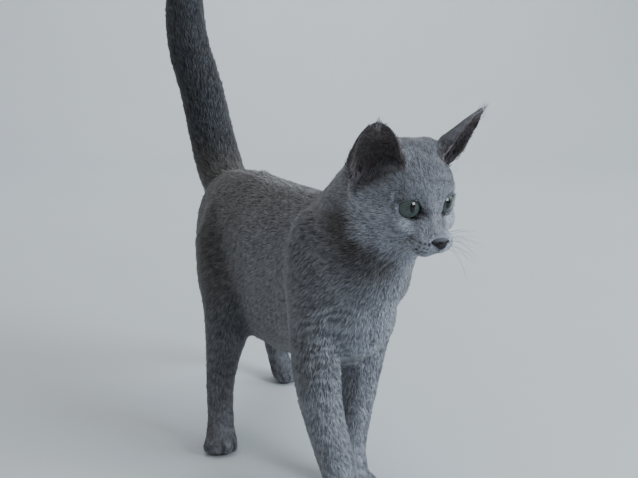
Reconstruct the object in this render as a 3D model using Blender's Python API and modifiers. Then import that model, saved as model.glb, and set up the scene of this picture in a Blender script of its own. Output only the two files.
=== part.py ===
"""A short-haired kitten caught in mid walk: tail up, head level, one hind foot forward.

Metres, +Z up, the cat faces -Y and its own right side is -X. The outside of every
solid is the outside of the coat. The animal is modelled whole, in two pieces of clay
(body and head) grown together, and is then parted by thin flat cuts into the head,
neck, trunk, tail lengths and legs. Ears, eyes and nose leather are solids of their own.
"""
import math

import bmesh
import bpy
from mathutils import Matrix, Vector

# ---------------------------------------------------------------- driving sizes
GAP = 0.0003                 # width of every parting cut and of the play round an eye
BACK_HEIGHT = 0.2265         # top of the back above the floor
BELLY_HEIGHT = 0.0812        # underside of the belly above the floor
TRUNK_HALF_WIDTH = 0.0390
HIP_HALF_WIDTH = 0.0400
PAW_HALF_WIDTH = 0.0140
TAIL_ROOT_RADIUS = 0.0225
TAIL_RADIUS = 0.0200

HEAD_AT = Vector((0.0180, -0.2080, 0.2335))   # midpoint between the two eye openings
HEAD_PITCH = math.radians(17.0)                # nose held down
HEAD_YAW = math.radians(5.0)                   # a little towards the cat's left
CHEEK_HALF_WIDTH = 0.0355
EYE_RADIUS = 0.0096
EYE_SPREAD = 0.0156          # eye opening centre from the middle of the face
EYE_TURN = math.radians(18.0)
EYE_SLANT = math.radians(12.0)
EYE_OPENING = (0.0079, 0.0064)
NOSE_AT = (0.0, -0.0196, -0.0172)
NOSE_HALF_WIDTH = 0.0070
NOSE_HALF_HEIGHT = 0.0048
NOSE_DEPTH = 0.0044
EAR_HALF_WIDTH = 0.0192
EAR_DEPTH = 0.0215
EAR_THICKNESS = 0.0022
EAR_ROOT = (0.0256, 0.0305, 0.0010)
EAR_TIPS = {"right": (0.0437, 0.0165, 0.0572), "left": (0.0432, 0.0165, 0.0617)}
EAR_OPENING = (0.47, -0.88, 0.05)

BODY_TRIANGLES = 2900
HEAD_TRIANGLES = 1230
BODY_VOXEL = 0.0020
HEAD_VOXEL = 0.0010
EYE_SEGMENTS = (12, 8)

SIDES = {"left": 1.0, "right": -1.0}   # which way each side lies along X

COATS = {
    "coat_dark": (0.072, 0.071, 0.072),
    "coat_grey": (0.155, 0.160, 0.180),
    "coat_light": (0.250, 0.270, 0.320),
    "ear_skin": (0.060, 0.052, 0.055),
    "iris": (0.150, 0.190, 0.130),
    "nose_skin": (0.020, 0.020, 0.026),
}


# ---------------------------------------------------------------- housekeeping
def clear_scene():
    for thing in list(bpy.data.objects):
        bpy.data.objects.remove(thing, do_unlink=True)


def new_collection(name):
    made = bpy.data.collections.new(name)
    bpy.context.scene.collection.children.link(made)
    return made


def new_material(name, colour, roughness=0.9, metallic=0.0):
    made = bpy.data.materials.new(name)
    made.use_nodes = True
    shader = made.node_tree.nodes["Principled BSDF"]
    shader.inputs["Base Color"].default_value = (*colour, 1.0)
    shader.inputs["Roughness"].default_value = roughness
    shader.inputs["Metallic"].default_value = metallic
    return made


def new_object(name, bm, home):
    bmesh.ops.recalc_face_normals(bm, faces=bm.faces)
    mesh = bpy.data.meshes.new(name)
    bm.to_mesh(mesh)
    bm.free()
    made = bpy.data.objects.new(name, mesh)
    home.objects.link(made)
    return made


def as_cutter(thing):
    thing.hide_render = True
    thing.display_type = "WIRE"
    return thing


# ---------------------------------------------------------------- shapes
def superellipse(angle, power):
    """A point of the unit superellipse: power 2 is an ellipse, more is squarer."""
    c = math.cos(angle)
    s = math.sin(angle)
    return (
        math.copysign(abs(c) ** (2.0 / power), c),
        math.copysign(abs(s) ** (2.0 / power), s),
    )


def loft(bm, rings, side, sides=28, power=2.2):
    """Skin a tube over rings of (centre, half width, half depth).

    The width runs along `side`, the depth across both the side and the path, and each
    end is closed by one point a little beyond the last ring.
    """
    side = Vector(side).normalized()
    centres = [Vector(ring[0]) for ring in rings]
    loops = []
    for index, (centre, wide, deep) in enumerate(rings):
        before = centres[max(index - 1, 0)]
        after = centres[min(index + 1, len(rings) - 1)]
        along = (after - before).normalized()
        across = (side - along * side.dot(along)).normalized()
        front = along.cross(across).normalized()
        loop = []
        for step in range(sides):
            u, v = superellipse(2.0 * math.pi * step / sides, power)
            loop.append(bm.verts.new(Vector(centre) + across * (wide * u) + front * (deep * v)))
        loops.append(loop)
    for lower, upper in zip(loops, loops[1:]):
        for step in range(sides):
            after = (step + 1) % sides
            bm.faces.new((lower[step], lower[after], upper[after], upper[step]))
    ends = ((loops[0], centres[0], centres[1]), (loops[-1], centres[-1], centres[-2]))
    for (loop, centre, inner), ring in zip(ends, (rings[0], rings[-1])):
        reach = 0.55 * min(ring[1], ring[2])
        tip = bm.verts.new(centre + (centre - inner).normalized() * reach)
        for step in range(sides):
            bm.faces.new((loop[step], loop[(step + 1) % sides], tip))


def ball(bm, centre, radii, turn=(0.0, 0.0, 0.0), segments=28, rings=18):
    """A stretched ball; `turn` is degrees about X, Y and Z before it is moved."""
    turned = Matrix.Identity(4)
    for axis, degrees in zip("XYZ", turn):
        turned = Matrix.Rotation(math.radians(degrees), 4, axis) @ turned
    place = Matrix.Translation(centre) @ turned @ Matrix.Diagonal((*radii, 1.0))
    bmesh.ops.create_uvsphere(bm, u_segments=segments, v_segments=rings, radius=1.0, matrix=place)


# ---------------------------------------------------------------- clay
def modifier_result(thing):
    """Replace the object's mesh with what its modifiers make of it."""
    graph = bpy.context.evaluated_depsgraph_get()
    result = bpy.data.meshes.new_from_object(thing.evaluated_get(graph))
    thing.modifiers.clear()
    thing.data = result


def grow_together(thing, voxel, smoothing, triangles):
    """Melt overlapping shapes into one skin, soften it and thin its faces out."""
    remesh = thing.modifiers.new("melt", "REMESH")
    remesh.mode = "VOXEL"
    remesh.voxel_size = voxel
    modifier_result(thing)
    smooth = thing.modifiers.new("soften", "SMOOTH")
    smooth.factor = 0.5
    smooth.iterations = smoothing
    modifier_result(thing)
    count = sum(len(face.vertices) - 2 for face in thing.data.polygons)
    thin = thing.modifiers.new("thin_out", "DECIMATE")
    thin.decimate_type = "COLLAPSE"
    thin.ratio = min(1.0, triangles / count)
    thin.use_collapse_triangulate = True
    modifier_result(thing)


def boolean(thing, other, operation):
    cut = thing.modifiers.new(operation.lower(), "BOOLEAN")
    cut.operation = operation
    cut.solver = "EXACT"
    cut.object = other
    bpy.context.view_layer.update()
    modifier_result(thing)


# ---------------------------------------------------------------- body
def trunk(bm):
    """Rings from the buttocks to the breast: (y, top, bottom, half width, sway)."""
    stations = (
        (0.1245, 0.1990, 0.1500, 0.0170, 0.0000),
        (0.1165, 0.2130, 0.1250, 0.0275, 0.0000),
        (0.0950, 0.2230, 0.1060, 0.0355, -0.0010),
        (0.0650, BACK_HEIGHT, 0.0930, HIP_HALF_WIDTH, -0.0020),
        (0.0300, BACK_HEIGHT + 0.0005, BELLY_HEIGHT + 0.0025, 0.0385, -0.0030),
        (-0.0050, BACK_HEIGHT, BELLY_HEIGHT, TRUNK_HALF_WIDTH - 0.0005, -0.0025),
        (-0.0400, BACK_HEIGHT - 0.0005, BELLY_HEIGHT + 0.0025, TRUNK_HALF_WIDTH, -0.0015),
        (-0.0750, BACK_HEIGHT, BELLY_HEIGHT + 0.0070, TRUNK_HALF_WIDTH, 0.0000),
        (-0.1050, BACK_HEIGHT, 0.0920, 0.0375, 0.0000),
        (-0.1320, 0.2180, 0.0990, 0.0350, 0.0000),
        (-0.1550, 0.1980, 0.1160, 0.0280, 0.0000),
        (-0.1670, 0.1820, 0.1360, 0.0180, 0.0000),
    )
    rings = []
    for y, top, bottom, wide, sway in stations:
        rings.append(((sway, y, 0.5 * (top + bottom)), wide, 0.5 * (top - bottom)))
    loft(bm, rings, (1.0, 0.0, 0.0), sides=36, power=2.25)


def neck(bm):
    rings = (
        ((0.0000, -0.1000, 0.1620), 0.0390, 0.0550),
        ((0.0005, -0.1220, 0.1780), 0.0390, 0.0530),
        ((0.0030, -0.1420, 0.1985), 0.0370, 0.0500),
        ((0.0065, -0.1560, 0.2205), 0.0335, 0.0455),
        ((0.0110, -0.1690, 0.2430), 0.0300, 0.0390),
    )
    loft(bm, rings, (1.0, 0.0, 0.0), sides=32, power=2.1)
    ball(bm, (0.0000, -0.1300, 0.1480), (0.0330, 0.0450, 0.0420))
    ball(bm, (0.0040, -0.1385, 0.1770), (0.0370, 0.0450, 0.0360))


def tail(bm):
    rings = (
        ((0.0000, 0.0960, 0.1970), 0.0220, 0.0220),
        ((0.0000, 0.1170, 0.2100), TAIL_ROOT_RADIUS, TAIL_ROOT_RADIUS),
        ((-0.0010, 0.1310, 0.2300), TAIL_ROOT_RADIUS, TAIL_ROOT_RADIUS),
        ((-0.0030, 0.1415, 0.2550), 0.0215, 0.0215),
        ((-0.0045, 0.1505, 0.2800), 0.0212, 0.0212),
        ((-0.0070, 0.1590, 0.3010), 0.0210, 0.0210),
        ((-0.0102, 0.1668, 0.3200), 0.0207, 0.0207),
        ((-0.0118, 0.1735, 0.3400), TAIL_RADIUS, TAIL_RADIUS),
        ((-0.0116, 0.1780, 0.3600), 0.0190, 0.0190),
        ((-0.0108, 0.1802, 0.3800), 0.0175, 0.0175),
        ((-0.0100, 0.1810, 0.3980), 0.0152, 0.0152),
        ((-0.0094, 0.1810, 0.4110), 0.0118, 0.0118),
        ((-0.0090, 0.1806, 0.4190), 0.0070, 0.0070),
    )
    loft(bm, rings, (1.0, 0.0, 0.0), sides=24, power=2.0)


def paw(bm, at, heading, size=1.0):
    """A foot pointing to `heading` degrees from -Y, its sole a little under the floor."""
    turned = Matrix.Rotation(math.radians(heading), 3, "Z")

    def lobe(x, y, z, rx, ry, rz, turn=0.0):
        centre = turned @ Vector((x, y, z)) * size
        place = (at[0] + centre.x, at[1] + centre.y, centre.z)
        ball(bm, place, (rx * size, ry * size, rz * size), (0.0, 0.0, heading + turn), 20, 14)

    lobe(0.0, 0.0020, 0.0085, PAW_HALF_WIDTH * 0.92, 0.0150, 0.0105)
    for x, y, turn in ((-0.0092, -0.0070, 12.0), (-0.0034, -0.0112, 4.0),
                       (0.0034, -0.0112, -4.0), (0.0092, -0.0070, -12.0)):
        lobe(x, y, 0.0062, 0.0047, 0.0078, 0.0070, -turn)


def foreleg_right(bm):
    rings = (
        ((-0.0220, -0.1180, 0.1780), 0.0200, 0.0300),
        ((-0.0270, -0.1240, 0.1500), 0.0190, 0.0280),
        ((-0.0295, -0.1300, 0.1260), 0.0185, 0.0230),
        ((-0.0308, -0.1350, 0.1050), 0.0180, 0.0200),
        ((-0.0312, -0.1410, 0.0850), 0.0168, 0.0178),
        ((-0.0298, -0.1475, 0.0660), 0.0154, 0.0162),
        ((-0.0276, -0.1540, 0.0480), 0.0145, 0.0150),
        ((-0.0253, -0.1610, 0.0320), 0.0138, 0.0140),
        ((-0.0235, -0.1665, 0.0160), 0.0132, 0.0135),
    )
    loft(bm, rings, (1.0, 0.0, 0.0), sides=24, power=2.1)
    ball(bm, (-0.0270, -0.1190, 0.1720), (0.0185, 0.0280, 0.0500))
    paw(bm, (-0.0225, -0.1700), -2.0)


def foreleg_left(bm):
    rings = (
        ((0.0220, -0.1120, 0.1780), 0.0200, 0.0300),
        ((0.0250, -0.1140, 0.1500), 0.0190, 0.0280),
        ((0.0240, -0.1140, 0.1240), 0.0180, 0.0225),
        ((0.0224, -0.1120, 0.1020), 0.0172, 0.0190),
        ((0.0208, -0.1110, 0.0800), 0.0155, 0.0165),
        ((0.0160, -0.1130, 0.0610), 0.0140, 0.0150),
        ((0.0103, -0.1175, 0.0430), 0.0132, 0.0140),
        ((0.0048, -0.1235, 0.0280), 0.0127, 0.0132),
        ((0.0028, -0.1310, 0.0150), 0.0127, 0.0132),
    )
    loft(bm, rings, (1.0, 0.0, 0.0), sides=24, power=2.1)
    ball(bm, (0.0270, -0.1150, 0.1720), (0.0185, 0.0280, 0.0500))
    paw(bm, (0.0036, -0.1385), 8.0)


def hindleg_right(bm):
    rings = (
        ((-0.0170, 0.0640, 0.1880), 0.0200, 0.0280),
        ((-0.0270, 0.0540, 0.1620), 0.0250, 0.0320),
        ((-0.0330, 0.0355, 0.1350), 0.0245, 0.0300),
        ((-0.0382, 0.0135, 0.1120), 0.0225, 0.0250),
        ((-0.0425, 0.0110, 0.0920), 0.0190, 0.0205),
        ((-0.0450, 0.0128, 0.0750), 0.0160, 0.0180),
        ((-0.0470, 0.0141, 0.0580), 0.0136, 0.0165),
        ((-0.0515, 0.0072, 0.0430), 0.0122, 0.0145),
        ((-0.0552, -0.0028, 0.0290), 0.0114, 0.0128),
        ((-0.0595, -0.0126, 0.0150), 0.0122, 0.0115),
    )
    loft(bm, rings, (0.90, -0.42, 0.0), sides=24, power=2.1)
    ball(bm, (-0.0460, 0.0200, 0.0580), (0.0090, 0.0110, 0.0110))
    paw(bm, (-0.0618, -0.0194), -26.0, 1.10)


def hindleg_left(bm):
    rings = (
        ((0.0170, 0.0680, 0.1880), 0.0180, 0.0300),
        ((0.0260, 0.0620, 0.1600), 0.0215, 0.0370),
        ((0.0330, 0.0560, 0.1350), 0.0200, 0.0350),
        ((0.0390, 0.0640, 0.1120), 0.0175, 0.0290),
        ((0.0450, 0.0860, 0.0920), 0.0155, 0.0205),
        ((0.0500, 0.1110, 0.0740), 0.0132, 0.0160),
        ((0.0540, 0.1270, 0.0570), 0.0118, 0.0142),
        ((0.0562, 0.1280, 0.0400), 0.0110, 0.0125),
        ((0.0578, 0.1215, 0.0230), 0.0112, 0.0118),
        ((0.0585, 0.1155, 0.0120), 0.0115, 0.0110),
    )
    loft(bm, rings, (1.0, 0.0, 0.0), sides=24, power=2.1)
    ball(bm, (0.0535, 0.1365, 0.0610), (0.0085, 0.0100, 0.0110))
    paw(bm, (0.0590, 0.1090), 2.0, 0.96)


# ---------------------------------------------------------------- head
def head_matrix():
    """From the head's own frame (between the eyes, face to -Y) to the cat's frame."""
    turn = Matrix.Rotation(HEAD_YAW, 4, "Z") @ Matrix.Rotation(HEAD_PITCH, 4, "X")
    return Matrix.Translation(HEAD_AT) @ turn


def eye_centre(side):
    """Middle of the eyeball in the head's own frame."""
    sign = SIDES[side]
    reach = EYE_RADIUS * 0.80
    return Vector((sign * (EYE_SPREAD - reach * math.sin(EYE_TURN)), reach * math.cos(EYE_TURN), 0.0))


def skull(bm):
    """Rings from the back of the skull to the muzzle: (y, middle height, width, height)."""
    stations = (
        (0.0630, 0.0030, 0.0130, 0.0130),
        (0.0560, 0.0035, 0.0220, 0.0220),
        (0.0440, 0.0040, 0.0290, 0.0300),
        (0.0300, 0.0025, 0.0330, 0.0325),
        (0.0200, -0.0005, 0.0330, 0.0310),
        (0.0125, -0.0040, 0.0300, 0.0270),
        (0.0055, -0.0095, 0.0225, 0.0205),
        (-0.0015, -0.0150, 0.0165, 0.0150),
        (-0.0095, -0.0190, 0.0130, 0.0115),
        (-0.0145, -0.0205, 0.0095, 0.0080),
    )
    rings = []
    for y, level, wide, high in stations:
        rings.append(((0.0, y, level), wide, high))
    loft(bm, rings, (1.0, 0.0, 0.0), sides=32, power=2.1)
    ball(bm, (0.0, -0.0020, -0.0275), (0.0102, 0.0122, 0.0087))
    ball(bm, (0.0, -0.0152, -0.0192), (0.0094, 0.0074, 0.0080))
    ball(bm, (0.0, 0.0310, 0.0205), (0.0210, 0.0190, 0.0164))
    ball(bm, (0.0, 0.0545, 0.0030), (0.0290, 0.0215, 0.0240))
    for side, sign in SIDES.items():
        cheek = CHEEK_HALF_WIDTH - 0.0185
        ball(bm, (sign * cheek, 0.0270, -0.0080), (0.0185, 0.0275, 0.0225))
        ball(bm, (sign * 0.0130, 0.0120, -0.0165), (0.0130, 0.0230, 0.0130), (0.0, 0.0, -sign * 30.0))
        ball(bm, (sign * 0.0145, 0.0060, -0.0125), (0.0142, 0.0130, 0.0118))
        ball(bm, (sign * 0.0074, -0.0098, -0.0212), (0.0096, 0.0106, 0.0090))
        ball(bm, (sign * 0.0130, 0.0310, 0.0202), (0.0170, 0.0185, 0.0162))
        ball(bm, (sign * 0.0240, 0.0345, -0.0010), (0.0155, 0.0200, 0.0190))
        ball(bm, (sign * 0.0220, 0.0400, 0.0175), (0.0125, 0.0145, 0.0140))
        ball(bm, eye_centre(side), (EYE_RADIUS + 0.0014,) * 3)
        ball(bm, (sign * 0.0165, 0.0085, 0.0070), (0.0115, 0.0095, 0.0085), (0.0, sign * 18.0, 0.0))
    bridge = (
        ((0.0, 0.0080, 0.0060), 0.0120, 0.0100),
        ((0.0, 0.0010, -0.0010), 0.0086, 0.0082),
        ((0.0, -0.0065, -0.0095), 0.0074, 0.0076),
        ((0.0, -0.0125, -0.0148), 0.0072, 0.0068),
        ((0.0, -0.0178, -0.0170), 0.0062, 0.0052),
    )
    loft(bm, bridge, (1.0, 0.0, 0.0), sides=20, power=2.2)


def ear(name, side, home, grow=0.0):
    """A cupped ear: crescent sections from a root inside the skull up to a narrow tip.

    `grow` swells it on every side, to cut the slot that it stands in.
    """
    sign = SIDES[side]
    bm = bmesh.new()
    base, tip, opening = (
        Vector((sign * x, y, z)) for x, y, z in (EAR_ROOT, EAR_TIPS[side], EAR_OPENING)
    )
    along = (tip - base).normalized()
    out = (opening - along * opening.dot(along)).normalized()
    across = along.cross(out).normalized() * sign
    steps = 9
    arc = 8
    spread = math.radians(96.0)
    loops = []
    for index in range(steps):
        t = 1.0 - (1.0 - index / (steps - 1)) ** 1.6
        centre = base.lerp(tip, t) + along * (grow * (2.0 * t - 1.0))
        root = 0.62 + 0.38 * min(1.0, t / 0.28)
        wide = EAR_HALF_WIDTH * root * max(0.07, math.sqrt(1.0 - t ** 2.5))
        deep = EAR_DEPTH * root * (0.08 + 0.92 * (1.0 - t) ** 0.85)
        thick = min(EAR_THICKNESS * (1.0 - 0.45 * t), 0.55 * wide, 0.55 * deep)
        loop = []
        for inset, order in ((-grow, range(arc + 1)), (thick + grow, range(arc, -1, -1))):
            for step in order:
                angle = -spread + 2.0 * spread * step / arc
                point = across * ((wide - inset) * math.sin(angle))
                point -= out * ((deep - inset) * math.cos(angle))
                if step in (0, arc):
                    point += out * grow
                loop.append(bm.verts.new(centre + point))
        loops.append(loop)
    count = len(loops[0])
    for lower, upper in zip(loops, loops[1:]):
        for step in range(count):
            after = (step + 1) % count
            bm.faces.new((lower[step], lower[after], upper[after], upper[step]))
    bm.faces.new(loops[0])
    bm.faces.new(list(reversed(loops[-1])))
    bmesh.ops.transform(bm, matrix=head_matrix(), verts=bm.verts)
    return new_object(name, bm, home)


# ---------------------------------------------------------------- cuts
def slab(bm, at, normal, radius, sides=20):
    """One thin flat disc, the width of a parting cut."""
    normal = Vector(normal).normalized()
    turned = normal.to_track_quat("Z", "Y").to_matrix().to_4x4()
    place = Matrix.Translation(at) @ turned
    bmesh.ops.create_cone(
        bm,
        cap_ends=True,
        segments=sides,
        radius1=radius,
        radius2=radius,
        depth=GAP,
        matrix=place,
    )


CUTS = (
    # where, facing, radius
    ((0.0080, -0.1535, 0.2335), (0.05, -0.67, 0.74), 0.060),     # head from neck
    ((0.0000, -0.1300, 0.2120), (0.00, -0.50, 0.87), 0.075),     # neck from chest
    ((0.0000, -0.0750, 0.1600), (0.00, 1.00, 0.00), 0.085),      # chest from belly
    ((0.0000, -0.0240, 0.1600), (0.00, 1.00, 0.00), 0.085),      # belly from rump
    ((-0.0010, 0.1270, 0.2260), (-0.05, 0.50, 0.86), 0.034),     # tail root from rump
    ((-0.0050, 0.1560, 0.2930), (-0.08, 0.40, 0.91), 0.034),     # tail middle from root
    ((-0.0095, 0.1800, 0.3520), (-0.04, 0.06, 1.00), 0.034),     # tail tip from middle
    ((-0.0315, -0.1405, 0.0850), (0.00, -0.20, 0.98), 0.028),    # right forearm
    ((-0.0250, -0.1620, 0.0290), (0.00, -0.35, 0.94), 0.022),    # right forepaw
    ((0.0225, -0.1112, 0.0850), (-0.12, 0.00, 0.98), 0.026),     # left forearm
    ((0.0040, -0.1255, 0.0270), (-0.12, -0.30, 0.95), 0.026),    # left forepaw
    ((-0.0445, 0.0125, 0.0765), (-0.10, -0.10, 1.00), 0.028),     # right shank
    ((-0.0485, 0.0110, 0.0520), (-0.10, -0.45, 0.90), 0.027),    # right hind foot
    ((0.0445, 0.0840, 0.0930), (0.10, 0.65, -0.75), 0.035),      # left shank
    ((0.0540, 0.1290, 0.0570), (0.05, 0.15, -0.98), 0.028),      # left hind foot
)

# what is parted from the trunk lengths afterwards: trunk length, piece, where, facing
SIDE_CUTS = (
    ("rump", "thigh_right", (-0.0290, 0.0300, 0.1310), (-0.976, 0.00, -0.218)),
    ("rump", "thigh_left", (0.0290, 0.0300, 0.1310), (0.976, 0.00, -0.218)),
    ("chest", "shoulder_right", (-0.0245, -0.1200, 0.1490), (-0.975, 0.00, -0.225)),
    ("chest", "shoulder_left", (0.0205, -0.1200, 0.1490), (0.955, 0.00, -0.295)),
)

SIDE_CUT_RADIUS = 0.16

# each piece with a point near its middle and its coat
PIECES = (
    ("head", (0.0150, -0.1850, 0.2450), "coat_light"),
    ("neck", (0.0060, -0.1480, 0.2200), "coat_grey"),
    ("chest", (0.0000, -0.1150, 0.1550), "coat_grey"),
    ("belly", (0.0000, -0.0500, 0.1600), "coat_dark"),
    ("rump", (0.0000, 0.0500, 0.1600), "coat_dark"),
    ("tail_root", (-0.0030, 0.1440, 0.2600), "coat_dark"),
    ("tail_middle", (-0.0080, 0.1720, 0.3220), "coat_dark"),
    ("tail_tip", (-0.0098, 0.1812, 0.3850), "coat_dark"),
    ("foreleg_right", (-0.0300, -0.1480, 0.0630), "coat_grey"),
    ("forepaw_right", (-0.0230, -0.1690, 0.0100), "coat_grey"),
    ("foreleg_left", (0.0190, -0.1130, 0.0610), "coat_grey"),
    ("forepaw_left", (0.0060, -0.1360, 0.0100), "coat_grey"),
    ("shank_right", (-0.0470, 0.0120, 0.0650), "coat_dark"),
    ("hindfoot_right", (-0.0590, -0.0100, 0.0250), "coat_dark"),
    ("shank_left", (0.0480, 0.1080, 0.0780), "coat_dark"),
    ("hindfoot_left", (0.0570, 0.1190, 0.0300), "coat_dark"),
)


def loose_pieces(thing, home):
    """Split the parted clay into one object for each closed piece."""
    bm = bmesh.new()
    bm.from_mesh(thing.data)
    bm.verts.ensure_lookup_table()
    left = set(bm.verts)
    pieces = []
    while left:
        seed = left.pop()
        shell = {seed}
        queue = [seed]
        while queue:
            vert = queue.pop()
            for edge in vert.link_edges:
                other = edge.other_vert(vert)
                if other not in shell:
                    shell.add(other)
                    queue.append(other)
        left -= shell
        pieces.append(shell)
    made = []
    for shell in pieces:
        piece = bmesh.new()
        twins = {}
        for vert in shell:
            twins[vert] = piece.verts.new(vert.co)
        faces = set()
        for vert in shell:
            faces.update(vert.link_faces)
        for face in faces:
            piece.faces.new([twins[vert] for vert in face.verts])
        made.append(new_object("piece", piece, home))
    bm.free()
    return made


def middle(thing):
    total = Vector()
    for corner in thing.bound_box:
        total += Vector(corner)
    return total / 8.0


def painted(thing, coat):
    """Give the object one material of its own, in the colour of its coat or skin."""
    thing.data.materials.clear()
    thing.data.materials.append(new_material(thing.name + "_" + coat, COATS[coat]))
    thing.data.shade_smooth()
    return thing


def clay_body(parts, tools):
    """The whole animal but for ears, eyes and nose leather, flat under the feet."""
    bm = bmesh.new()
    trunk(bm)
    neck(bm)
    tail(bm)
    foreleg_right(bm)
    foreleg_left(bm)
    hindleg_right(bm)
    hindleg_left(bm)
    body = new_object("body_clay", bm, parts)
    grow_together(body, BODY_VOXEL, 12, BODY_TRIANGLES)

    bm = bmesh.new()
    skull(bm)
    bmesh.ops.transform(bm, matrix=head_matrix(), verts=bm.verts)
    head = as_cutter(new_object("head_clay", bm, tools))
    grow_together(head, HEAD_VOXEL, 28, HEAD_TRIANGLES)
    boolean(body, head, "UNION")

    bm = bmesh.new()
    bmesh.ops.create_cube(bm, size=1.0, matrix=Matrix.Translation((0.0, 0.0, -0.5)))
    floor = as_cutter(new_object("floor_cutter", bm, tools))
    boolean(body, floor, "DIFFERENCE")
    return body


def part_the_body(body, parts, tools):
    """Cut the clay into head, neck, trunk, tail and leg pieces and name them."""
    for at, normal, radius in CUTS:
        bm = bmesh.new()
        slab(bm, at, normal, radius)
        cut = as_cutter(new_object("parting_cut", bm, tools))
        boolean(body, cut, "DIFFERENCE")
    pieces = loose_pieces(body, parts)
    bpy.data.objects.remove(body, do_unlink=True)
    coats = {}
    for name, inside, coat in PIECES:
        nearest = min(pieces, key=lambda piece: (middle(piece) - Vector(inside)).length)
        nearest.name = name
        painted(nearest, coat)
        coats[name] = coat
        pieces.remove(nearest)

    for whole, name, at, normal in SIDE_CUTS:
        thing = bpy.data.objects[whole]
        bm = bmesh.new()
        slab(bm, at, normal, SIDE_CUT_RADIUS)
        boolean(thing, as_cutter(new_object("side_cut", bm, tools)), "DIFFERENCE")
        halves = loose_pieces(thing, parts)
        halves.sort(key=lambda piece: (middle(piece) - Vector(at)).dot(Vector(normal)))
        bpy.data.objects.remove(thing, do_unlink=True)
        for half, label in zip(halves, (whole, name)):
            half.name = label
            painted(half, coats[whole])


def nose_shape(name, home, grow):
    bm = bmesh.new()
    radii = (NOSE_HALF_WIDTH + grow, NOSE_DEPTH + grow, NOSE_HALF_HEIGHT + grow)
    ball(bm, NOSE_AT, radii, (-24.0, 0.0, 0.0), 14, 8)
    bmesh.ops.transform(bm, matrix=head_matrix(), verts=bm.verts)
    return new_object(name, bm, home)


def eyeball(name, side, home, grow):
    bm = bmesh.new()
    bmesh.ops.create_uvsphere(
        bm,
        u_segments=EYE_SEGMENTS[0],
        v_segments=EYE_SEGMENTS[1],
        radius=EYE_RADIUS + grow,
        matrix=head_matrix() @ Matrix.Translation(eye_centre(side)),
    )
    return new_object(name, bm, home)


def lid_opening(name, side, home):
    """The almond opening between the lids, flaring a little outwards."""
    sign = SIDES[side]
    gaze = Matrix.Rotation(sign * EYE_TURN, 4, "Z") @ Matrix.Rotation(math.radians(90.0), 4, "X")
    slant = Matrix.Rotation(-sign * EYE_SLANT, 4, "Z")
    reach = Matrix.Translation((0.0, 0.0, 0.0125))
    stretch = Matrix.Diagonal((EYE_OPENING[0], EYE_OPENING[1], 1.0, 1.0))
    place = head_matrix() @ Matrix.Translation(eye_centre(side)) @ gaze @ slant @ reach @ stretch
    bm = bmesh.new()
    bmesh.ops.create_cone(
        bm,
        cap_ends=True,
        segments=14,
        radius1=1.0,
        radius2=1.15,
        depth=0.016,
        matrix=place,
    )
    return new_object(name, bm, home)


def face(parts, tools):
    """Nose leather, eyes and ears, each seated in a hollow of its own in the head."""
    head = bpy.data.objects["head"]
    boolean(head, as_cutter(nose_shape("nose_hollow", tools, GAP)), "DIFFERENCE")
    painted(nose_shape("nose", parts, 0.0), "nose_skin")
    for side in SIDES:
        boolean(head, as_cutter(eyeball("socket_" + side, side, tools, GAP)), "DIFFERENCE")
        boolean(head, as_cutter(lid_opening("lids_" + side, side, tools)), "DIFFERENCE")
        painted(eyeball("eye_" + side, side, parts, 0.0), "iris")
        boolean(head, as_cutter(ear("ear_slot_" + side, side, tools, GAP)), "DIFFERENCE")
        painted(ear("ear_" + side, side, parts), "ear_skin")


def stand_on_origin(parts):
    """Bring the middle of the animal's bounding box, on the floor, to the origin."""
    corners = []
    for thing in parts.objects:
        corners.extend(Vector(corner) for corner in thing.bound_box)
    low = Vector([min(corner[axis] for corner in corners) for axis in range(3)])
    high = Vector([max(corner[axis] for corner in corners) for axis in range(3)])
    middle_below = Vector((0.5 * (low.x + high.x), 0.5 * (low.y + high.y), low.z))
    for thing in parts.objects:
        thing.data.transform(Matrix.Translation(-middle_below))


def build():
    clear_scene()
    parts = new_collection("walking_kitten")
    tools = new_collection("kitten_cutters")
    body = clay_body(parts, tools)
    part_the_body(body, parts, tools)
    face(parts, tools)
    stand_on_origin(parts)


build()
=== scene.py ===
"""A walking kitten with a short blue-grey plush coat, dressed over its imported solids."""
import math

import bmesh
import bpy
import numpy as np
from mathutils import Matrix, Vector
from mathutils.bvhtree import BVHTree


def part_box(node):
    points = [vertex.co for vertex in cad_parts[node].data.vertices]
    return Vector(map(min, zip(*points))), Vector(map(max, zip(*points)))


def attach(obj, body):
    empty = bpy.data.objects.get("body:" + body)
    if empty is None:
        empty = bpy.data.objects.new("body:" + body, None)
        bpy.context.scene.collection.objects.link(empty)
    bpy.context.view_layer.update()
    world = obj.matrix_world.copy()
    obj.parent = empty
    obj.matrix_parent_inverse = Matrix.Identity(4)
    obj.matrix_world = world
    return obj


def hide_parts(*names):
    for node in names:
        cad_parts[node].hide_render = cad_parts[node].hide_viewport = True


bl_info = {
    "name": "Walking Kitten",
    "version": (1, 0, 0),
    "blender": (4, 5, 0),
    "location": "View3D > Sidebar > Kitten",
    "description": "Skin, plush coat, eyes, nose and whiskers of a walking kitten",
    "category": "Object",
}

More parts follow.
